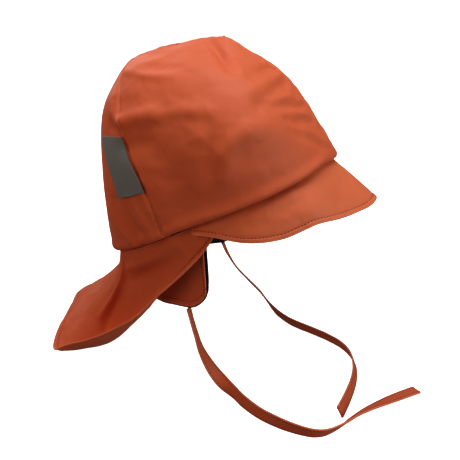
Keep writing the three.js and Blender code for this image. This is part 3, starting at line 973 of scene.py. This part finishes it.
@dataclass(frozen=True)
class CoatedCloth:
    """Polyester knit with a matt polyurethane coat: even, with a soft wide shine and fine grain.

    On the peak a copy of the same cloth is painted paler, as painted light for the peak catching more light;
    it is also a little smoother.
    """

    name: str = "coral_polyurethane_coated_cloth"
    colour: str = "D2653F"
    worn_colour: str = "DC7954"
    deep_colour: str = "C95D38"
    roughness: float = 0.6
    shine_spread: float = 0.06
    patch_mm: float = 45.0
    worn_mm: float = 1.6
    worn_share: float = 0.7
    grain_mm: float = 0.9
    grain_depth_mm: float = 0.12
    crease_mm: float = 14.0
    crease_depth_mm: float = 1.5

    def material(self) -> bpy.types.Material:
        """Builds the material. The coat hides the weave, so the grain is drawn coarse enough to show.

        Returns:
            The material, with large soft patches, paler edges, faint creases and a fine grain.
        """
        material, tree, shader = new_material(self.name)
        place = add_node(tree, "ShaderNodeTexCoord").outputs["Object"]
        cloth = add_node(tree, "ShaderNodeUVMap", uv_map="cloth").outputs["UV"]
        edge = add_node(tree, "ShaderNodeAttribute", attribute_name="edge_mm").outputs["Fac"]
        patches = add_node(tree, "ShaderNodeTexNoise", {
            "Vector": place, "Scale": 1 / (self.patch_mm * MM), "Detail": 3, "Roughness": 0.5,
        }).outputs["Fac"]
        mottle = add_node(tree, "ShaderNodeMix", {
            MIX_SHARE: patches, MIX_FIRST: linear(self.deep_colour), MIX_SECOND: linear(self.colour),
        }, data_type="RGBA").outputs[MIX_COLOUR]
        near = add_node(tree, "ShaderNodeMapRange", {
            "Value": edge, "From Min": 0.0, "From Max": self.worn_mm,
            "To Min": self.worn_share, "To Max": 0.0,
        }).outputs["Result"]
        worn = add_node(tree, "ShaderNodeMix", {
            MIX_SHARE: near, MIX_FIRST: mottle, MIX_SECOND: linear(self.worn_colour),
        }, data_type="RGBA").outputs[MIX_COLOUR]
        shine = add_node(tree, "ShaderNodeMapRange", {
            "Value": patches, "To Min": self.roughness - self.shine_spread,
            "To Max": self.roughness + self.shine_spread,
        }).outputs["Result"]
        creases = add_node(tree, "ShaderNodeTexNoise", {
            "Vector": place, "Scale": 1 / (self.crease_mm * MM), "Detail": 1, "Roughness": 0.4,
            "Distortion": 0.4,
        }).outputs["Fac"]
        soft = add_node(tree, "ShaderNodeBump", {
            "Strength": 0.7, "Distance": self.crease_depth_mm * MM, "Height": creases,
        }).outputs["Normal"]
        grain = add_node(tree, "ShaderNodeTexNoise", {
            "Vector": cloth, "Scale": 1 / (self.grain_mm * MM), "Detail": 2,
        }, noise_dimensions="2D").outputs["Fac"]
        fine = add_node(tree, "ShaderNodeBump", {
            "Strength": 0.25, "Distance": self.grain_depth_mm * MM, "Height": grain, "Normal": soft,
        }).outputs["Normal"]
        set_inputs(shader, {
            "Base Color": worn, "Roughness": shine, "Specular IOR Level": 0.32, "Normal": fine})
        return material


@dataclass(frozen=True)
class LiningKnit:
    """Brushed cotton jersey in black: it takes almost no shine, with fine ribs and a soft nap."""

    name: str = "black_cotton_jersey"
    colour: str = "17171A"
    nap_colour: str = "2A2A2E"
    rib_mm: float = 1.0
    rib_depth_mm: float = 0.2

    def material(self) -> bpy.types.Material:
        """Builds the material. The ribs of the real knit are finer, and are drawn to show.

        Returns:
            The material.
        """
        material, tree, shader = new_material(self.name)
        cloth = add_node(tree, "ShaderNodeUVMap", uv_map="cloth").outputs["UV"]
        ribs = add_node(tree, "ShaderNodeTexWave", {
            "Vector": cloth, "Scale": 1 / (self.rib_mm * MM) / BANDS_PER_UNIT, "Distortion": 1.5,
            "Detail": 2,
        }).outputs["Fac"]
        nap = add_node(tree, "ShaderNodeMix", {
            MIX_SHARE: ribs, MIX_FIRST: linear(self.colour), MIX_SECOND: linear(self.nap_colour),
        }, data_type="RGBA").outputs[MIX_COLOUR]
        bump = add_node(tree, "ShaderNodeBump", {
            "Strength": 0.5, "Distance": self.rib_depth_mm * MM, "Height": ribs}).outputs["Normal"]
        set_inputs(shader, {
            "Base Color": nap, "Roughness": 0.92, "Sheen Weight": 0.25, "Sheen Roughness": 0.4,
            "Specular IOR Level": 0.2, "Normal": bump})
        return material


@dataclass(frozen=True)
class WovenTape:
    """Damask label tape in grey polyester: flat, with a tight rib across and a faint shine."""

    name: str = "grey_woven_tape"
    colour: str = "696A6B"
    thread_colour: str = "808080"
    thread_mm: float = 0.7
    thread_depth_mm: float = 0.15

    def material(self) -> bpy.types.Material:
        """Builds the material. Two crossed waves stand for the threads, coarse enough to show.

        Returns:
            The material.
        """
        material, tree, shader = new_material(self.name)
        cloth = add_node(tree, "ShaderNodeUVMap", uv_map="cloth").outputs["UV"]
        scale = 1 / (self.thread_mm * MM) / BANDS_PER_UNIT
        warp, weft = (
            add_node(tree, "ShaderNodeTexWave", {"Vector": cloth, "Scale": scale}, bands_direction=way)
            for way in ("X", "Y")
        )
        weave = add_node(tree, "ShaderNodeMath", {
            0: warp.outputs["Fac"], 1: weft.outputs["Fac"]}, operation="MULTIPLY").outputs[0]
        tint = add_node(tree, "ShaderNodeMix", {
            MIX_SHARE: weave, MIX_FIRST: linear(self.colour), MIX_SECOND: linear(self.thread_colour),
        }, data_type="RGBA").outputs[MIX_COLOUR]
        bump = add_node(tree, "ShaderNodeBump", {
            "Strength": 0.5, "Distance": self.thread_depth_mm * MM, "Height": weave}).outputs["Normal"]
        set_inputs(shader, {"Base Color": tint, "Roughness": 0.7, "Sheen Weight": 0.2, "Normal": bump})
        return material


@dataclass(frozen=True)
class SewingThread:
    """Spun polyester thread, painted darker than the cloth as painted shade for the sunken stitch holes:
    round, with a slight shine.
    """

    name: str = "coral_polyester_thread"
    # Both colours are painted shade, darker than the cloth for the stitch holes; the twist between them is
    # the thread's own.
    colour: str = "8A3219"
    dark_colour: str = "66220F"
    twist_mm: float = 0.6

    def material(self) -> bpy.types.Material:
        """Builds the material, with a faint twist in the colour.

        Returns:
            The material.
        """
        material, tree, shader = new_material(self.name)
        place = add_node(tree, "ShaderNodeTexCoord").outputs["Object"]
        twist = add_node(tree, "ShaderNodeTexNoise", {
            "Vector": place, "Scale": 1 / (self.twist_mm * MM)}).outputs["Fac"]
        tint = add_node(tree, "ShaderNodeMix", {
            MIX_SHARE: twist, MIX_FIRST: linear(self.dark_colour), MIX_SECOND: linear(self.colour),
        }, data_type="RGBA").outputs[MIX_COLOUR]
        set_inputs(shader, {"Base Color": tint, "Roughness": 0.55})
        return material


@dataclass(frozen=True)
class StudioFloor:
    """Matt white laminate over a light table: even and pale, with soft pale shadows."""

    name: str = "white_laminate"
    colour: str = "F4F4F3"
    glow: float = 1.02

    def material(self) -> bpy.types.Material:
        """Builds the material.

        Returns:
            The material.
        """
        material, _, shader = new_material(self.name)
        set_inputs(shader, {
            "Base Color": linear(self.colour), "Emission Color": linear(self.colour),
            "Emission Strength": self.glow, "Roughness": 0.9, "Specular IOR Level": 0.1})
        return material


@dataclass
class StitchRows:
    """Rows of stitches along the hems, made by one Geometry Nodes tree, with its sizes in mm."""

    material: bpy.types.Material
    pitch: float = 2.8
    stitch: float = 1.9
    thread: float = 0.7
    least: float = 0.88
    most: float = 1.08
    seed: int = 11

    def tree(self) -> bpy.types.NodeTree:
        """Builds the tree that lays a short rounded stitch at each pitch along a curve.

        Returns:
            The tree.
        """
        tree = bpy.data.node_groups.new("stitch_row", "GeometryNodeTree")
        face = tree.interface
        face.new_socket("Geometry", in_out="INPUT", socket_type="NodeSocketGeometry")
        for name, value in (("Pitch", self.pitch), ("Stitch length", self.stitch), ("Thread", self.thread)):
            socket = face.new_socket(name, in_out="INPUT", socket_type="NodeSocketFloat")
            socket.default_value = value * MM
        seed = face.new_socket("Seed", in_out="INPUT", socket_type="NodeSocketInt")
        seed.default_value = self.seed
        face.new_socket("Geometry", in_out="OUTPUT", socket_type="NodeSocketGeometry")
        source = add_node(tree, "NodeGroupInput").outputs
        row = add_node(tree, "GeometryNodeResampleCurve", {
            "Curve": source["Geometry"], "Length": source["Pitch"]}, mode="LENGTH")
        capsule = add_node(tree, "GeometryNodeMeshUVSphere", {"Segments": 6, "Rings": 5, "Radius": 0.5})
        along = add_node(tree, "GeometryNodeInputTangent").outputs[0]
        turn = add_node(tree, "FunctionNodeAlignRotationToVector", {"Vector": along}, axis="X")
        size = add_node(tree, "ShaderNodeCombineXYZ", {
            "X": source["Stitch length"], "Y": source["Thread"], "Z": source["Thread"]})
        # The Random Value node has a pair of limits for each data type: 2 and 3, and output 1, are floats
        change = add_node(tree, "FunctionNodeRandomValue", {
            "Seed": source["Seed"], 2: self.least, 3: self.most}, data_type="FLOAT")
        scale = add_node(tree, "ShaderNodeVectorMath", {
            0: size.outputs[0], "Scale": change.outputs[1]}, operation="SCALE")
        laid = add_node(tree, "GeometryNodeInstanceOnPoints", {
            "Points": row.outputs[0], "Instance": capsule.outputs["Mesh"],
            "Rotation": turn.outputs[0], "Scale": scale.outputs[0]})
        real = add_node(tree, "GeometryNodeRealizeInstances", {"Geometry": laid.outputs[0]})
        dressed = add_node(tree, "GeometryNodeSetMaterial", {
            "Geometry": real.outputs[0], "Material": self.material})
        add_node(tree, "NodeGroupOutput", {0: dressed.outputs[0]})
        return tree

    def sew(self, name: str, lines: Sequence[Grid]) -> bpy.types.Object:
        """Sews one piece's rows of stitches.

        Args:
            name: the new piece's name.
            lines: the rows, as points in millimetres.

        Returns:
            The stitches as one plain mesh.
        """
        curve = bpy.data.curves.new(name + "_rows", "CURVE")
        curve.dimensions = "3D"
        for line in lines:
            spline = curve.splines.new("POLY")
            spline.points.add(len(line) - 1)
            spline.points.foreach_set("co", np.c_[line * MM, np.ones(len(line))].ravel())
        guide = linked(name + "_rows", curve)
        rows = guide.modifiers.new("stitches", "NODES")
        rows.node_group = bpy.data.node_groups.get("stitch_row") or self.tree()
        sockets = {s.name: s.identifier for s in rows.node_group.interface.items_tree if s.in_out == "INPUT"}
        rows[sockets["Seed"]] = self.seed + len(name)
        view = bpy.context.evaluated_depsgraph_get()
        mesh = bpy.data.meshes.new_from_object(guide.evaluated_get(view), depsgraph=view)
        bpy.data.objects.remove(guide)
        mesh.name = name
        mesh.shade_smooth()
        return linked(name, mesh)


def dress(piece: bpy.types.Object, material: bpy.types.Material, slot: str, *nodes: str) -> bpy.types.Object:
    """Gives a piece its material, hangs it on the hat's body and hides the solids that it replaces.

    Args:
        piece: the finished piece.
        material: its finish.
        slot: not used.
        *nodes: the solids that it replaces.

    Returns:
        The piece.
    """
    if not piece.data.materials:
        piece.data.materials.append(material)
    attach(piece, BODY)
    if nodes:
        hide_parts(*nodes)
    return piece


@dataclass
class Wardrobe:
    """The hat's finishes, each made once."""

    coated: bpy.types.Material
    taut: bpy.types.Material
    lining: bpy.types.Material
    tape: bpy.types.Material
    stitches: StitchRows

    @classmethod
    def filled(cls) -> "Wardrobe":
        """Makes every finish.

        Returns:
            The wardrobe.
        """
        # The peak's copy of the cloth (DD724B, E38464, D56B45) is painted paler: painted light for the peak,
        # which catches more light.
        taut = CoatedCloth(
            "coral_coated_cloth_over_stiffener", "DD724B", "E38464", "D56B45", roughness=0.55,
        )
        return cls(
            coated=CoatedCloth().material(),
            taut=taut.material(),
            lining=LiningKnit().material(),
            tape=WovenTape().material(),
            stitches=StitchRows(SewingThread().material()),
        )

    def sew(self, name: str, lines: Sequence[Grid]) -> bpy.types.Object:
        """Sews rows of stitches along lines of points and makes them a piece of the hat."""
        return dress(self.stitches.sew(name, lines), self.stitches.material, "coated_cloth")


@dataclass
class Crown:
    """The three panels of the crown and the tab in its right side seam, with sizes in mm."""

    form: CrownForm
    finishes: Wardrobe
    wall: float = 1.2
    seam_gap: float = 0.25
    side_wrinkle: float = 0.5
    apex_level: float = 8.26
    top_level: float = 10.0
    label_wall: float = 0.7
    label_width_deg: float = 16
    label_levels: tuple[float, float] = (3.47, 5.31)
    label_outset: float = 1.5
    label_lift: float = 1.5

    def seam_deg(self, level: Grid) -> Grid:
        """Where the side/back seam runs at a level."""
        return np.minimum(180, CROWN.at(level)["seam_deg"])

    def seam_gap_deg(self, level: Grid) -> Grid:
        """Half the gap between two panels, as an angle."""
        return np.degrees(self.seam_gap / 2 / CROWN.at(level)["back_y"])

    def side_surface(self, side: Side, u: Grid, v: Grid) -> Grid:
        """A side panel from the front seam to the side/back seam, and from the rim up.

        Args:
            side: the wearer's side.
            u: from 0 to 1 across.
            v: from 0 to 1 up.

        Returns:
            Points in millimetres.
        """
        level = v * self.top_level
        point = self.form.crown(u * (self.seam_deg(level) - self.seam_gap_deg(level)), level)
        point[..., 0] = np.minimum(point[..., 0], -self.seam_gap / 2) * -side.value
        return point

    def back_surface(self, u: Grid, v: Grid) -> Grid:
        """The back panel from the right seam to the left seam, and from the rim to its tip.

        Args:
            u: from 0 to 1 across.
            v: from 0 to 1 up.

        Returns:
            Points in millimetres.
        """
        level = v * self.apex_level
        start = self.seam_deg(level) + self.seam_gap_deg(level)
        return self.form.crown(start + u * (360 - 2 * start), level)

    def label_surface(self, u: Grid, v: Grid) -> Grid:
        """The tab from the seam outwards, where it stands off a little, and up the seam.

        Args:
            u: from 0 to 1 across.
            v: from 0 to 1 up.

        Returns:
            Points in millimetres.
        """
        low, high = self.label_levels
        level = low + v * (high - low)
        point = self.form.crown(self.seam_deg(level) + u * self.label_width_deg, level)
        outward = point - self.form.middle
        outward[..., 2] = 0
        return point + unit(outward) * (self.label_outset + self.label_lift * u * u)[..., None]

    def side_panel(self, side: Side) -> bpy.types.Object:
        """Makes one side panel.

        Args:
            side: the wearer's side.

        Returns:
            The panel.
        """
        cloth = Cloth(
            f"crown_{side.hand}_cloth", partial(self.side_surface, side), self.form.middle, self.wall,
            ClothEdges(start=Edge.SEAM, end=Edge.SEAM, low=Edge.ROLLED, high=Edge.SEAM),
            wrinkle=self.side_wrinkle, seed=3 + side.value, creases=self.form.crease_height,
        )
        piece = dress(cloth.build(), self.finishes.coated, "coated_cloth", f"crown_{side.hand}_panel")
        return piece

    def back_panel(self) -> bpy.types.Object:
        """Makes the tapering back panel.

        Returns:
            The panel.
        """
        cloth = Cloth(
            "crown_back_cloth", self.back_surface, self.form.middle, self.wall,
            ClothEdges(start=Edge.SEAM, end=Edge.SEAM, low=Edge.ROLLED),
            seed=9, creases=self.form.crease_height,
        )
        piece = dress(cloth.build(), self.finishes.coated, "coated_cloth", "crown_back_panel")
        return piece

    def label(self) -> bpy.types.Object:
        """Makes the bare woven tab, flat on the back panel and sewn in the seam.

        Returns:
            The tab.
        """
        cloth = Cloth(
            "label_tape", self.label_surface, self.form.middle, self.label_wall, ClothEdges(),
            spacing=1.5, wrinkle=0.15,
        )
        piece = dress(cloth.build(), self.finishes.tape, "woven_label", "label")
        return piece

    def build(self) -> list[bpy.types.Object]:
        """Makes the crown's four pieces."""
        return [*(self.side_panel(side) for side in Side), self.back_panel(), self.label()]


@dataclass
class Peak:
    """The stiffened peak, with one row of stitches along its turned edge, and its sizes in mm.

    Its root lies inside the rim by tuck and above it by rise, with rise_floor of that on the left.
    On the right its edge stands out by flare along flare_way, and it swells by swell near the rim.
    The pairs are the degrees between which each of these comes in or fades.
    """

    form: CrownForm
    finishes: Wardrobe
    wall: float = 2.6
    end_deg: float = 97
    inside: tuple[float, float, float] = (0, -60, -80)
    tuck: float = 3.4
    rise: float = 2.0
    rise_floor: float = 0.2
    rise_in: tuple[float, float] = (4, 24)
    flare: float = 10.0
    flare_way: tuple[float, float, float] = (-0.91, -0.08, 0.4)
    flare_in: tuple[float, float] = (18, 46)
    flare_out: tuple[float, float] = (70, 94)
    swell: float = 1.5
    swell_height: float = 5.0
    swell_in: tuple[float, float] = (8, 36)
    swell_out: tuple[float, float] = (66, 88)
    bow_outward: float = 0.5
    bow_upward: float = 0.8

    def place(self, deg: Grid, v: Grid) -> Grid:
        """A point of the peak.

        Args:
            deg: the place round the rim.
            v: from 0 at the rim to 1 at the free edge.

        Returns:
            Points in millimetres.
        """
        row = PEAK.at(np.abs(deg))
        rise = self.rise * (self.rise_floor + (1 - self.rise_floor) * smoothstep(deg, *self.rise_in))
        root = self.form.root(deg, row["outset"] - self.tuck, row["lift"] + rise)
        edge = np.stack([-np.sign(deg) * row["edge_x"], row["edge_y"], row["edge_z"]], axis=-1)
        flare = self.flare * smoothstep(deg, *self.flare_in) * (1 - smoothstep(deg, *self.flare_out))
        edge += flare[..., None] * np.array(self.flare_way)
        swell = self.swell * smoothstep(deg, *self.swell_in) * (1 - smoothstep(deg, *self.swell_out))
        bow = (4 * v * (1 - v) * row["bow"] + self.swell_height * v * (1 - v) ** 2 * swell)[..., None]
        outward = self.form.rim_outward(deg) * bow * self.bow_outward
        upward = np.array([0, 0, self.bow_upward]) * bow
        return root + (edge - root) * v[..., None] + outward + upward

    def surface(self, u: Grid, v: Grid) -> Grid:
        """The peak from its right end to its left end."""
        return self.place(self.end_deg * (1 - 2 * u), v)

    def build(self) -> list[bpy.types.Object]:
        """Makes the peak.

        Returns:
            Its cloth and its stitches.
        """
        edges = ClothEdges(high=Edge.HEM, pucker=0.3, hem_rise=0.25, stitch_dip=0.6)
        cloth = Cloth(
            "peak_cloth", self.surface, self.inside, self.wall, edges, wrinkle=0.45, wrinkle_grain=17,
            seed=21, creases=partial(total_lift, creases_on(PEAK_CREASES, self.place)),
        )
        # The peak takes the copy of the cloth that is painted paler, as painted light.
        piece = dress(cloth.build(), self.finishes.taut, "coated_cloth", "peak")
        line = cloth.face.line_along("high", edges.hem_width)
        return [piece, self.finishes.sew("peak_stitches", [line])]


@dataclass
class NeckFlap:
    """The long flap that hangs from the back of the rim, with its curled and stitched hem."""

    form: CrownForm
    finishes: Wardrobe
    wall: float = 1.2
    start_deg: float = 80
    inside: tuple[float, float, float] = (0, 60, -60)
    curl_dip: float = 2.5
    lift: float = 1.5

    def place(self, deg: Grid, v: Grid) -> Grid:
        """A point of the flap, which sags inwards along a cubic curve from the rim to the hem.

        Args:
            deg: the place round the rim.
            v: from 0 at the rim to 1 at the hem.

        Returns:
            Points in millimetres.
        """
        row = FLAP.at(deg)
        root = self.form.root(deg, -row["inset"], self.lift)
        hem = np.stack([row["hem_x"], row["hem_y"], row["hem_z"]], axis=-1)
        chord = hem - root
        inward = -self.form.rim_outward(deg)
        share = np.sum(inward * chord, axis=-1) / np.sum(chord * chord, axis=-1)
        inward = unit(inward - chord * share[..., None])
        upper = root + chord / 3 + inward * row["upper_sag"][..., None]
        lower = root + chord * 2 / 3 + inward * row["lower_sag"][..., None]
        lower[..., 2] -= row["curl"] * self.curl_dip
        t = v[..., None]
        s = 1 - t
        return s**3 * root + 3 * s * s * t * upper + 3 * s * t * t * lower + t**3 * hem

    def surface(self, u: Grid, v: Grid) -> Grid:
        """The flap from its right front end round the back to its left front end."""
        return self.place(self.start_deg + u * (360 - 2 * self.start_deg), v)

    def build(self) -> list[bpy.types.Object]:
        """Makes the flap.

        Returns:
            Its cloth and its stitches.
        """
        edges = ClothEdges(high=Edge.HEM, pucker=0.5, hem_rise=0.6, stitch_dip=0.6)
        cloth = Cloth(
            "neck_flap_cloth", self.surface, self.inside, self.wall, edges, wrinkle=0.6, seed=31,
            creases=partial(total_lift, creases_on(FLAP_CREASES, self.place)),
        )
        piece = dress(cloth.build(), self.finishes.coated, "coated_cloth", "neck_flap")
        line = cloth.face.line_along("high", edges.hem_width)
        stitches = self.finishes.sew("neck_flap_stitches", [line])
        return [piece, stitches]


@dataclass
class EarFlap:
    """One ear flap: coated cloth outside and black jersey inside, which shows at the front edge.

    The coated layer is held back from the front edge by set_back, a share of the flap's width, and
    from the lower edge by lower_share of that.
    """

    form: CrownForm
    finishes: Wardrobe
    side: Side
    outer_wall: float = 1.2
    lining_wall: float = 1.0
    gap: float = 0.3
    inset: float = 4.6
    set_back: float = 0.035
    lower_share: float = 0.75
    start_deg: float = 91
    end_deg: float = 134
    inside: tuple[float, float, float] = (0, 25, -30)

    def surface(self, set_back: float, u: Grid, v: Grid) -> Grid:
        """One layer from its front edge backwards, and from the rim down.

        Args:
            set_back: how far its edges are held back.
            u: from 0 to 1 across.
            v: from 0 to 1 down.

        Returns:
            Points in millimetres.
        """
        along = set_back + u * (1 - set_back)
        row = EAR_FLAP.at(self.start_deg + along * (self.end_deg - self.start_deg))
        root = self.form.root(row["deg"], np.full_like(u, -self.inset), 0)
        edge = np.stack([-row["edge_x"], row["edge_y"], row["edge_z"]], axis=-1)
        down = v * (1 - self.lower_share * set_back)
        point = root + (edge - root) * down[..., None]
        point[..., 0] += 4 * down * (1 - down) * row["bow"]
        point[..., 0] *= -self.side.value
        return point

    def layer(self, name: str, depth: float, wall: float, set_back: float, edges: ClothEdges) -> Cloth:
        """Plans one layer of the flap.

        Args:
            name: the piece's name.
            depth: how far the layer lies below the flap's outer face.
            wall: its thickness.
            set_back: how far its edges are held back.
            edges: the finish of its edges.

        Returns:
            The cloth, not built yet.
        """
        return Cloth(
            name, partial(self.surface, set_back), self.inside, wall, edges, depth=depth, wrinkle=0.25,
            seed=41,
        )

    def build(self) -> list[bpy.types.Object]:
        """Makes the ear flap.

        Returns:
            Its coated layer, its stitches and its lining.
        """
        hand = self.side.hand
        hems = ClothEdges(start=Edge.HEM, high=Edge.HEM, pucker=0.15, hem_rise=0.2, stitch_dip=0.3)
        outer = self.layer(f"ear_flap_{hand}_cloth", 0, self.outer_wall, self.set_back, hems)
        piece = dress(outer.build(), self.finishes.coated, "coated_cloth", f"ear_flap_{hand}")
        lines = [outer.face.line_along(side, hems.hem_width) for side in ("start", "high")]
        stitches = self.finishes.sew(f"ear_flap_{hand}_stitches", lines)
        depth = self.outer_wall + 2 * self.gap
        inner = self.layer(f"ear_flap_lining_{hand}_cloth", depth, self.lining_wall, 0, ClothEdges())
        lining = dress(inner.build(), self.finishes.lining, "lining_cloth", f"ear_flap_lining_{hand}")
        return [piece, stitches, lining]


@dataclass
class Tie:
    """A flat tie strap, folded from cloth and stitched along both sides, with its sizes in mm.

    The section gives heights, as shares of half the thickness, at distances from the strap's edge.
    """

    side: Side
    finishes: Wardrobe
    width: float = 11.0
    thickness: float = 1.8
    steps: int = 260
    fine_steps: int = 2000
    row_inset: float = 1.6
    row_height: float = 0.8
    ripple: float = 0.12
    ripple_grain: float = 6
    ripple_seed: float = 3.0
    middle_height: float = 0.9
    section: tuple[tuple[float, float], ...] = (
        (0, 0), (0.15, 0.6), (0.6, 0.92), (1.2, 0.95), (1.6, 0.72), (2.1, 0.9), (3.2, 0.96),
    )

    @cached_property
    def route(self) -> tuple[Grid, Grid, Grid, float]:
        """Lays the strap's route on a smooth curve, in even steps.

        Returns:
            Its middle line, its way across, the way that its flat side faces, and its length.
        """
        rows = np.array(TIE_ROUTES[self.side], float)
        table = Profile(("key", *ROUTE_COLUMNS), np.c_[np.linspace(0, 1, len(rows)), rows])
        dense = table.at(np.linspace(0, 1, self.fine_steps))
        line = np.stack([dense[name] for name in ROUTE_COLUMNS[:3]], axis=-1)
        face = np.stack([dense[name] for name in ROUTE_COLUMNS[3:]], axis=-1)
        length = np.r_[0, np.cumsum(np.linalg.norm(np.diff(line, axis=0), axis=1))]
        even = np.linspace(0, length[-1], self.steps + 1)
        middle, facing = (
            np.stack([np.interp(even, length, values[:, k]) for k in range(3)], axis=-1)
            for values in (line, face)
        )
        ahead = unit(np.gradient(middle, axis=0))
        across = unit(np.cross(ahead, facing))
        return middle, across, unit(np.cross(across, ahead)), float(length[-1])

    def outline(self) -> list[tuple[float, float]]:
        """The strap's section, once round it.

        Returns:
            Pairs of a place across and a height.
        """
        half = self.width / 2
        upper = [(-half + inset, height) for inset, height in self.section]
        upper += [(0, self.middle_height)]
        upper += [(half - inset, height) for inset, height in reversed(self.section)]
        return upper + [(x, -height) for x, height in upper[-2:0:-1]]

    def strap(self) -> bpy.types.Object:
        """Makes the strap as one closed tube.

        Returns:
            The new object.
        """
        middle, across, face, length = self.route
        outline = self.outline()
        half, thick = self.width / 2, self.thickness / 2
        ripple = self.ripple * soft_noise(middle, self.ripple_grain, self.ripple_seed)
        rings = [middle + across * x + face * (thick * h + ripple * abs(h))[..., None] for x, h in outline]
        points = np.stack(rings, axis=1)
        count, n = points.shape[:2]
        index = np.arange(count * n).reshape(count, n)
        after = np.roll(index, -1, axis=1)
        quads = np.stack([index[:-1], after[:-1], after[1:], index[1:]], axis=-1).reshape(-1, 4).tolist()
        caps = [index[0, ::-1].tolist(), index[-1].tolist()]
        along, around = np.repeat(np.linspace(0, length, count), n), np.tile(np.arange(n), count)
        edge = np.tile([half - abs(x) for x, _ in outline], count).astype(float)
        name = f"tie_{self.side.hand}_strap"
        lengths = np.stack([along, around], axis=-1)
        return cloth_object(name, points.reshape(-1, 3), quads + caps, lengths, edge)

    def build(self) -> list[bpy.types.Object]:
        """Makes the tie, with two rows of stitches on each face.

        Returns:
            The strap and its stitches.
        """
        hand = self.side.hand
        piece = dress(self.strap(), self.finishes.coated, "coated_cloth", f"tie_{hand}")
        middle, across, face, length = self.route
        aside = self.width / 2 - self.row_inset
        lines = [
            middle + across * s * aside + face * side * (self.thickness / 2) * self.row_height
            for s in (-1, 1) for side in (-1, 1)
        ]
        stitches = self.finishes.sew(f"tie_{hand}_stitches", lines)
        return [piece, stitches]


@dataclass(frozen=True)
class SoftBox:
    """A square soft light that points at the hat: its place and size in metres, its watts and tint."""

    name: str
    place: tuple[float, float, float]
    size: float
    watts: float
    tint: str = "FFFFFF"

    def switch_on(self) -> None:
        """Adds the light to the scene."""
        data = bpy.data.lights.new(self.name, "AREA")
        data.energy = self.watts
        data.size = self.size
        data.color = linear(self.tint)[:3]
        lamp = linked(self.name, data)
        lamp.location = self.place
        lamp.rotation_euler = (-Vector(self.place)).to_track_quat("-Z", "Y").to_euler()


@dataclass
class Studio:
    """The camera, the lights and the pale floor, with places in mm and the floor's reach in m."""

    eye: tuple[float, float, float] = (-562.3, -119.5, 232.3)
    aim: tuple[float, float, float] = (-25.7, -10.4, -12.9)
    lens: float = 57.08
    sensor: float = 36
    floor_z: float = -142.3
    floor_reach: float = 4.0
    fill_above: float = 0.03
    fill_below: float = 0.16
    horizon: float = 0.1
    soft_boxes: tuple[SoftBox, ...] = (
        SoftBox("overhead", (-0.02, -0.1, 0.62), 0.42, 2.8, "ECF8FF"),
        SoftBox("front", (-0.3, -1.1, 0.3), 0.8, 2.5, "F0FAFA"),
        SoftBox("front_low", (-0.5, -1.1, 0), 0.8, 4, "F0FAFA"),
        SoftBox("back_right", (-0.8, 0.7, 0.5), 0.8, 3.4, "FFDCB4"),
        SoftBox("back_left", (0.8, 0.7, 0.5), 0.8, 4),
        SoftBox("back_over", (0, 0.6, 0.9), 0.6, 1.8, "F0FFFF"),
    )

    def camera(self) -> None:
        """Sets the camera at the photograph's angle."""
        data = bpy.data.cameras.new("camera")
        data.lens = self.lens
        data.sensor_width = self.sensor
        data.clip_start = 0.01
        data.clip_end = 50
        camera = linked("camera", data)
        camera.location = Vector(self.eye) * MM
        camera.rotation_euler = (Vector(self.aim) - Vector(self.eye)).to_track_quat("-Z", "Y").to_euler()
        bpy.context.scene.camera = camera

    def floor(self) -> None:
        """Lays the wide pale floor that the ties rest on."""
        mesh = bpy.data.meshes.new("floor")
        reach, z = self.floor_reach, self.floor_z * MM
        corners = [(-reach, -reach, z), (reach, -reach, z), (reach, reach, z), (-reach, reach, z)]
        mesh.from_pydata(corners, [], [(0, 1, 2, 3)])
        mesh.materials.append(StudioFloor().material())
        floor = linked("floor", mesh)
        floor.visible_diffuse = False
        floor.visible_glossy = False

    def lights(self) -> None:
        """Lights the hat from soft boxes on all sides, before a white wall."""
        world = bpy.data.worlds.new("studio")
        world.use_nodes = True
        tree = world.node_tree
        way = add_node(tree, "ShaderNodeTexCoord").outputs["Generated"]
        height = add_node(tree, "ShaderNodeSeparateXYZ", {0: way}).outputs["Z"]
        strength = add_node(tree, "ShaderNodeMapRange", {
            "Value": height, "From Min": -self.horizon, "From Max": self.horizon,
            "To Min": self.fill_below, "To Max": self.fill_above})
        fill = tree.nodes["Background"]
        set_inputs(fill, {"Color": linear("FFFFFF"), "Strength": strength.outputs["Result"]})
        wall = add_node(tree, "ShaderNodeBackground", {"Color": linear("FFFFFF"), "Strength": 1.0})
        seen = add_node(tree, "ShaderNodeLightPath").outputs["Is Camera Ray"]
        both = add_node(tree, "ShaderNodeMixShader", {0: seen, 1: fill.outputs[0], 2: wall.outputs[0]})
        set_inputs(tree.nodes["World Output"], {"Surface": both.outputs[0]})
        bpy.context.scene.world = world
        for soft_box in self.soft_boxes:
            soft_box.switch_on()
        bpy.context.scene.view_settings.view_transform = "Standard"
        bpy.context.scene.view_settings.look = "Medium High Contrast"

    def build(self) -> None:
        """Sets up the whole studio."""
        self.camera()
        self.floor()
        self.lights()


def main() -> None:
    """Builds the studio, the ties and then the hat from the crown down, and reports each piece."""
    logging.basicConfig(level=logging.INFO, format="%(message)s")
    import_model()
    Studio().build()
    finishes = Wardrobe.filled()
    form = CrownForm()
    parts = [
        *(Tie(side, finishes) for side in Side),
        Crown(form, finishes),
        Peak(form, finishes),
        NeckFlap(form, finishes),
        *(EarFlap(form, finishes, side) for side in Side),
    ]
    for part in parts:
        for piece in part.build():
            log.info("%s: %d faces", piece.name, len(piece.data.polygons))


if __name__ == "__main__":
    main()
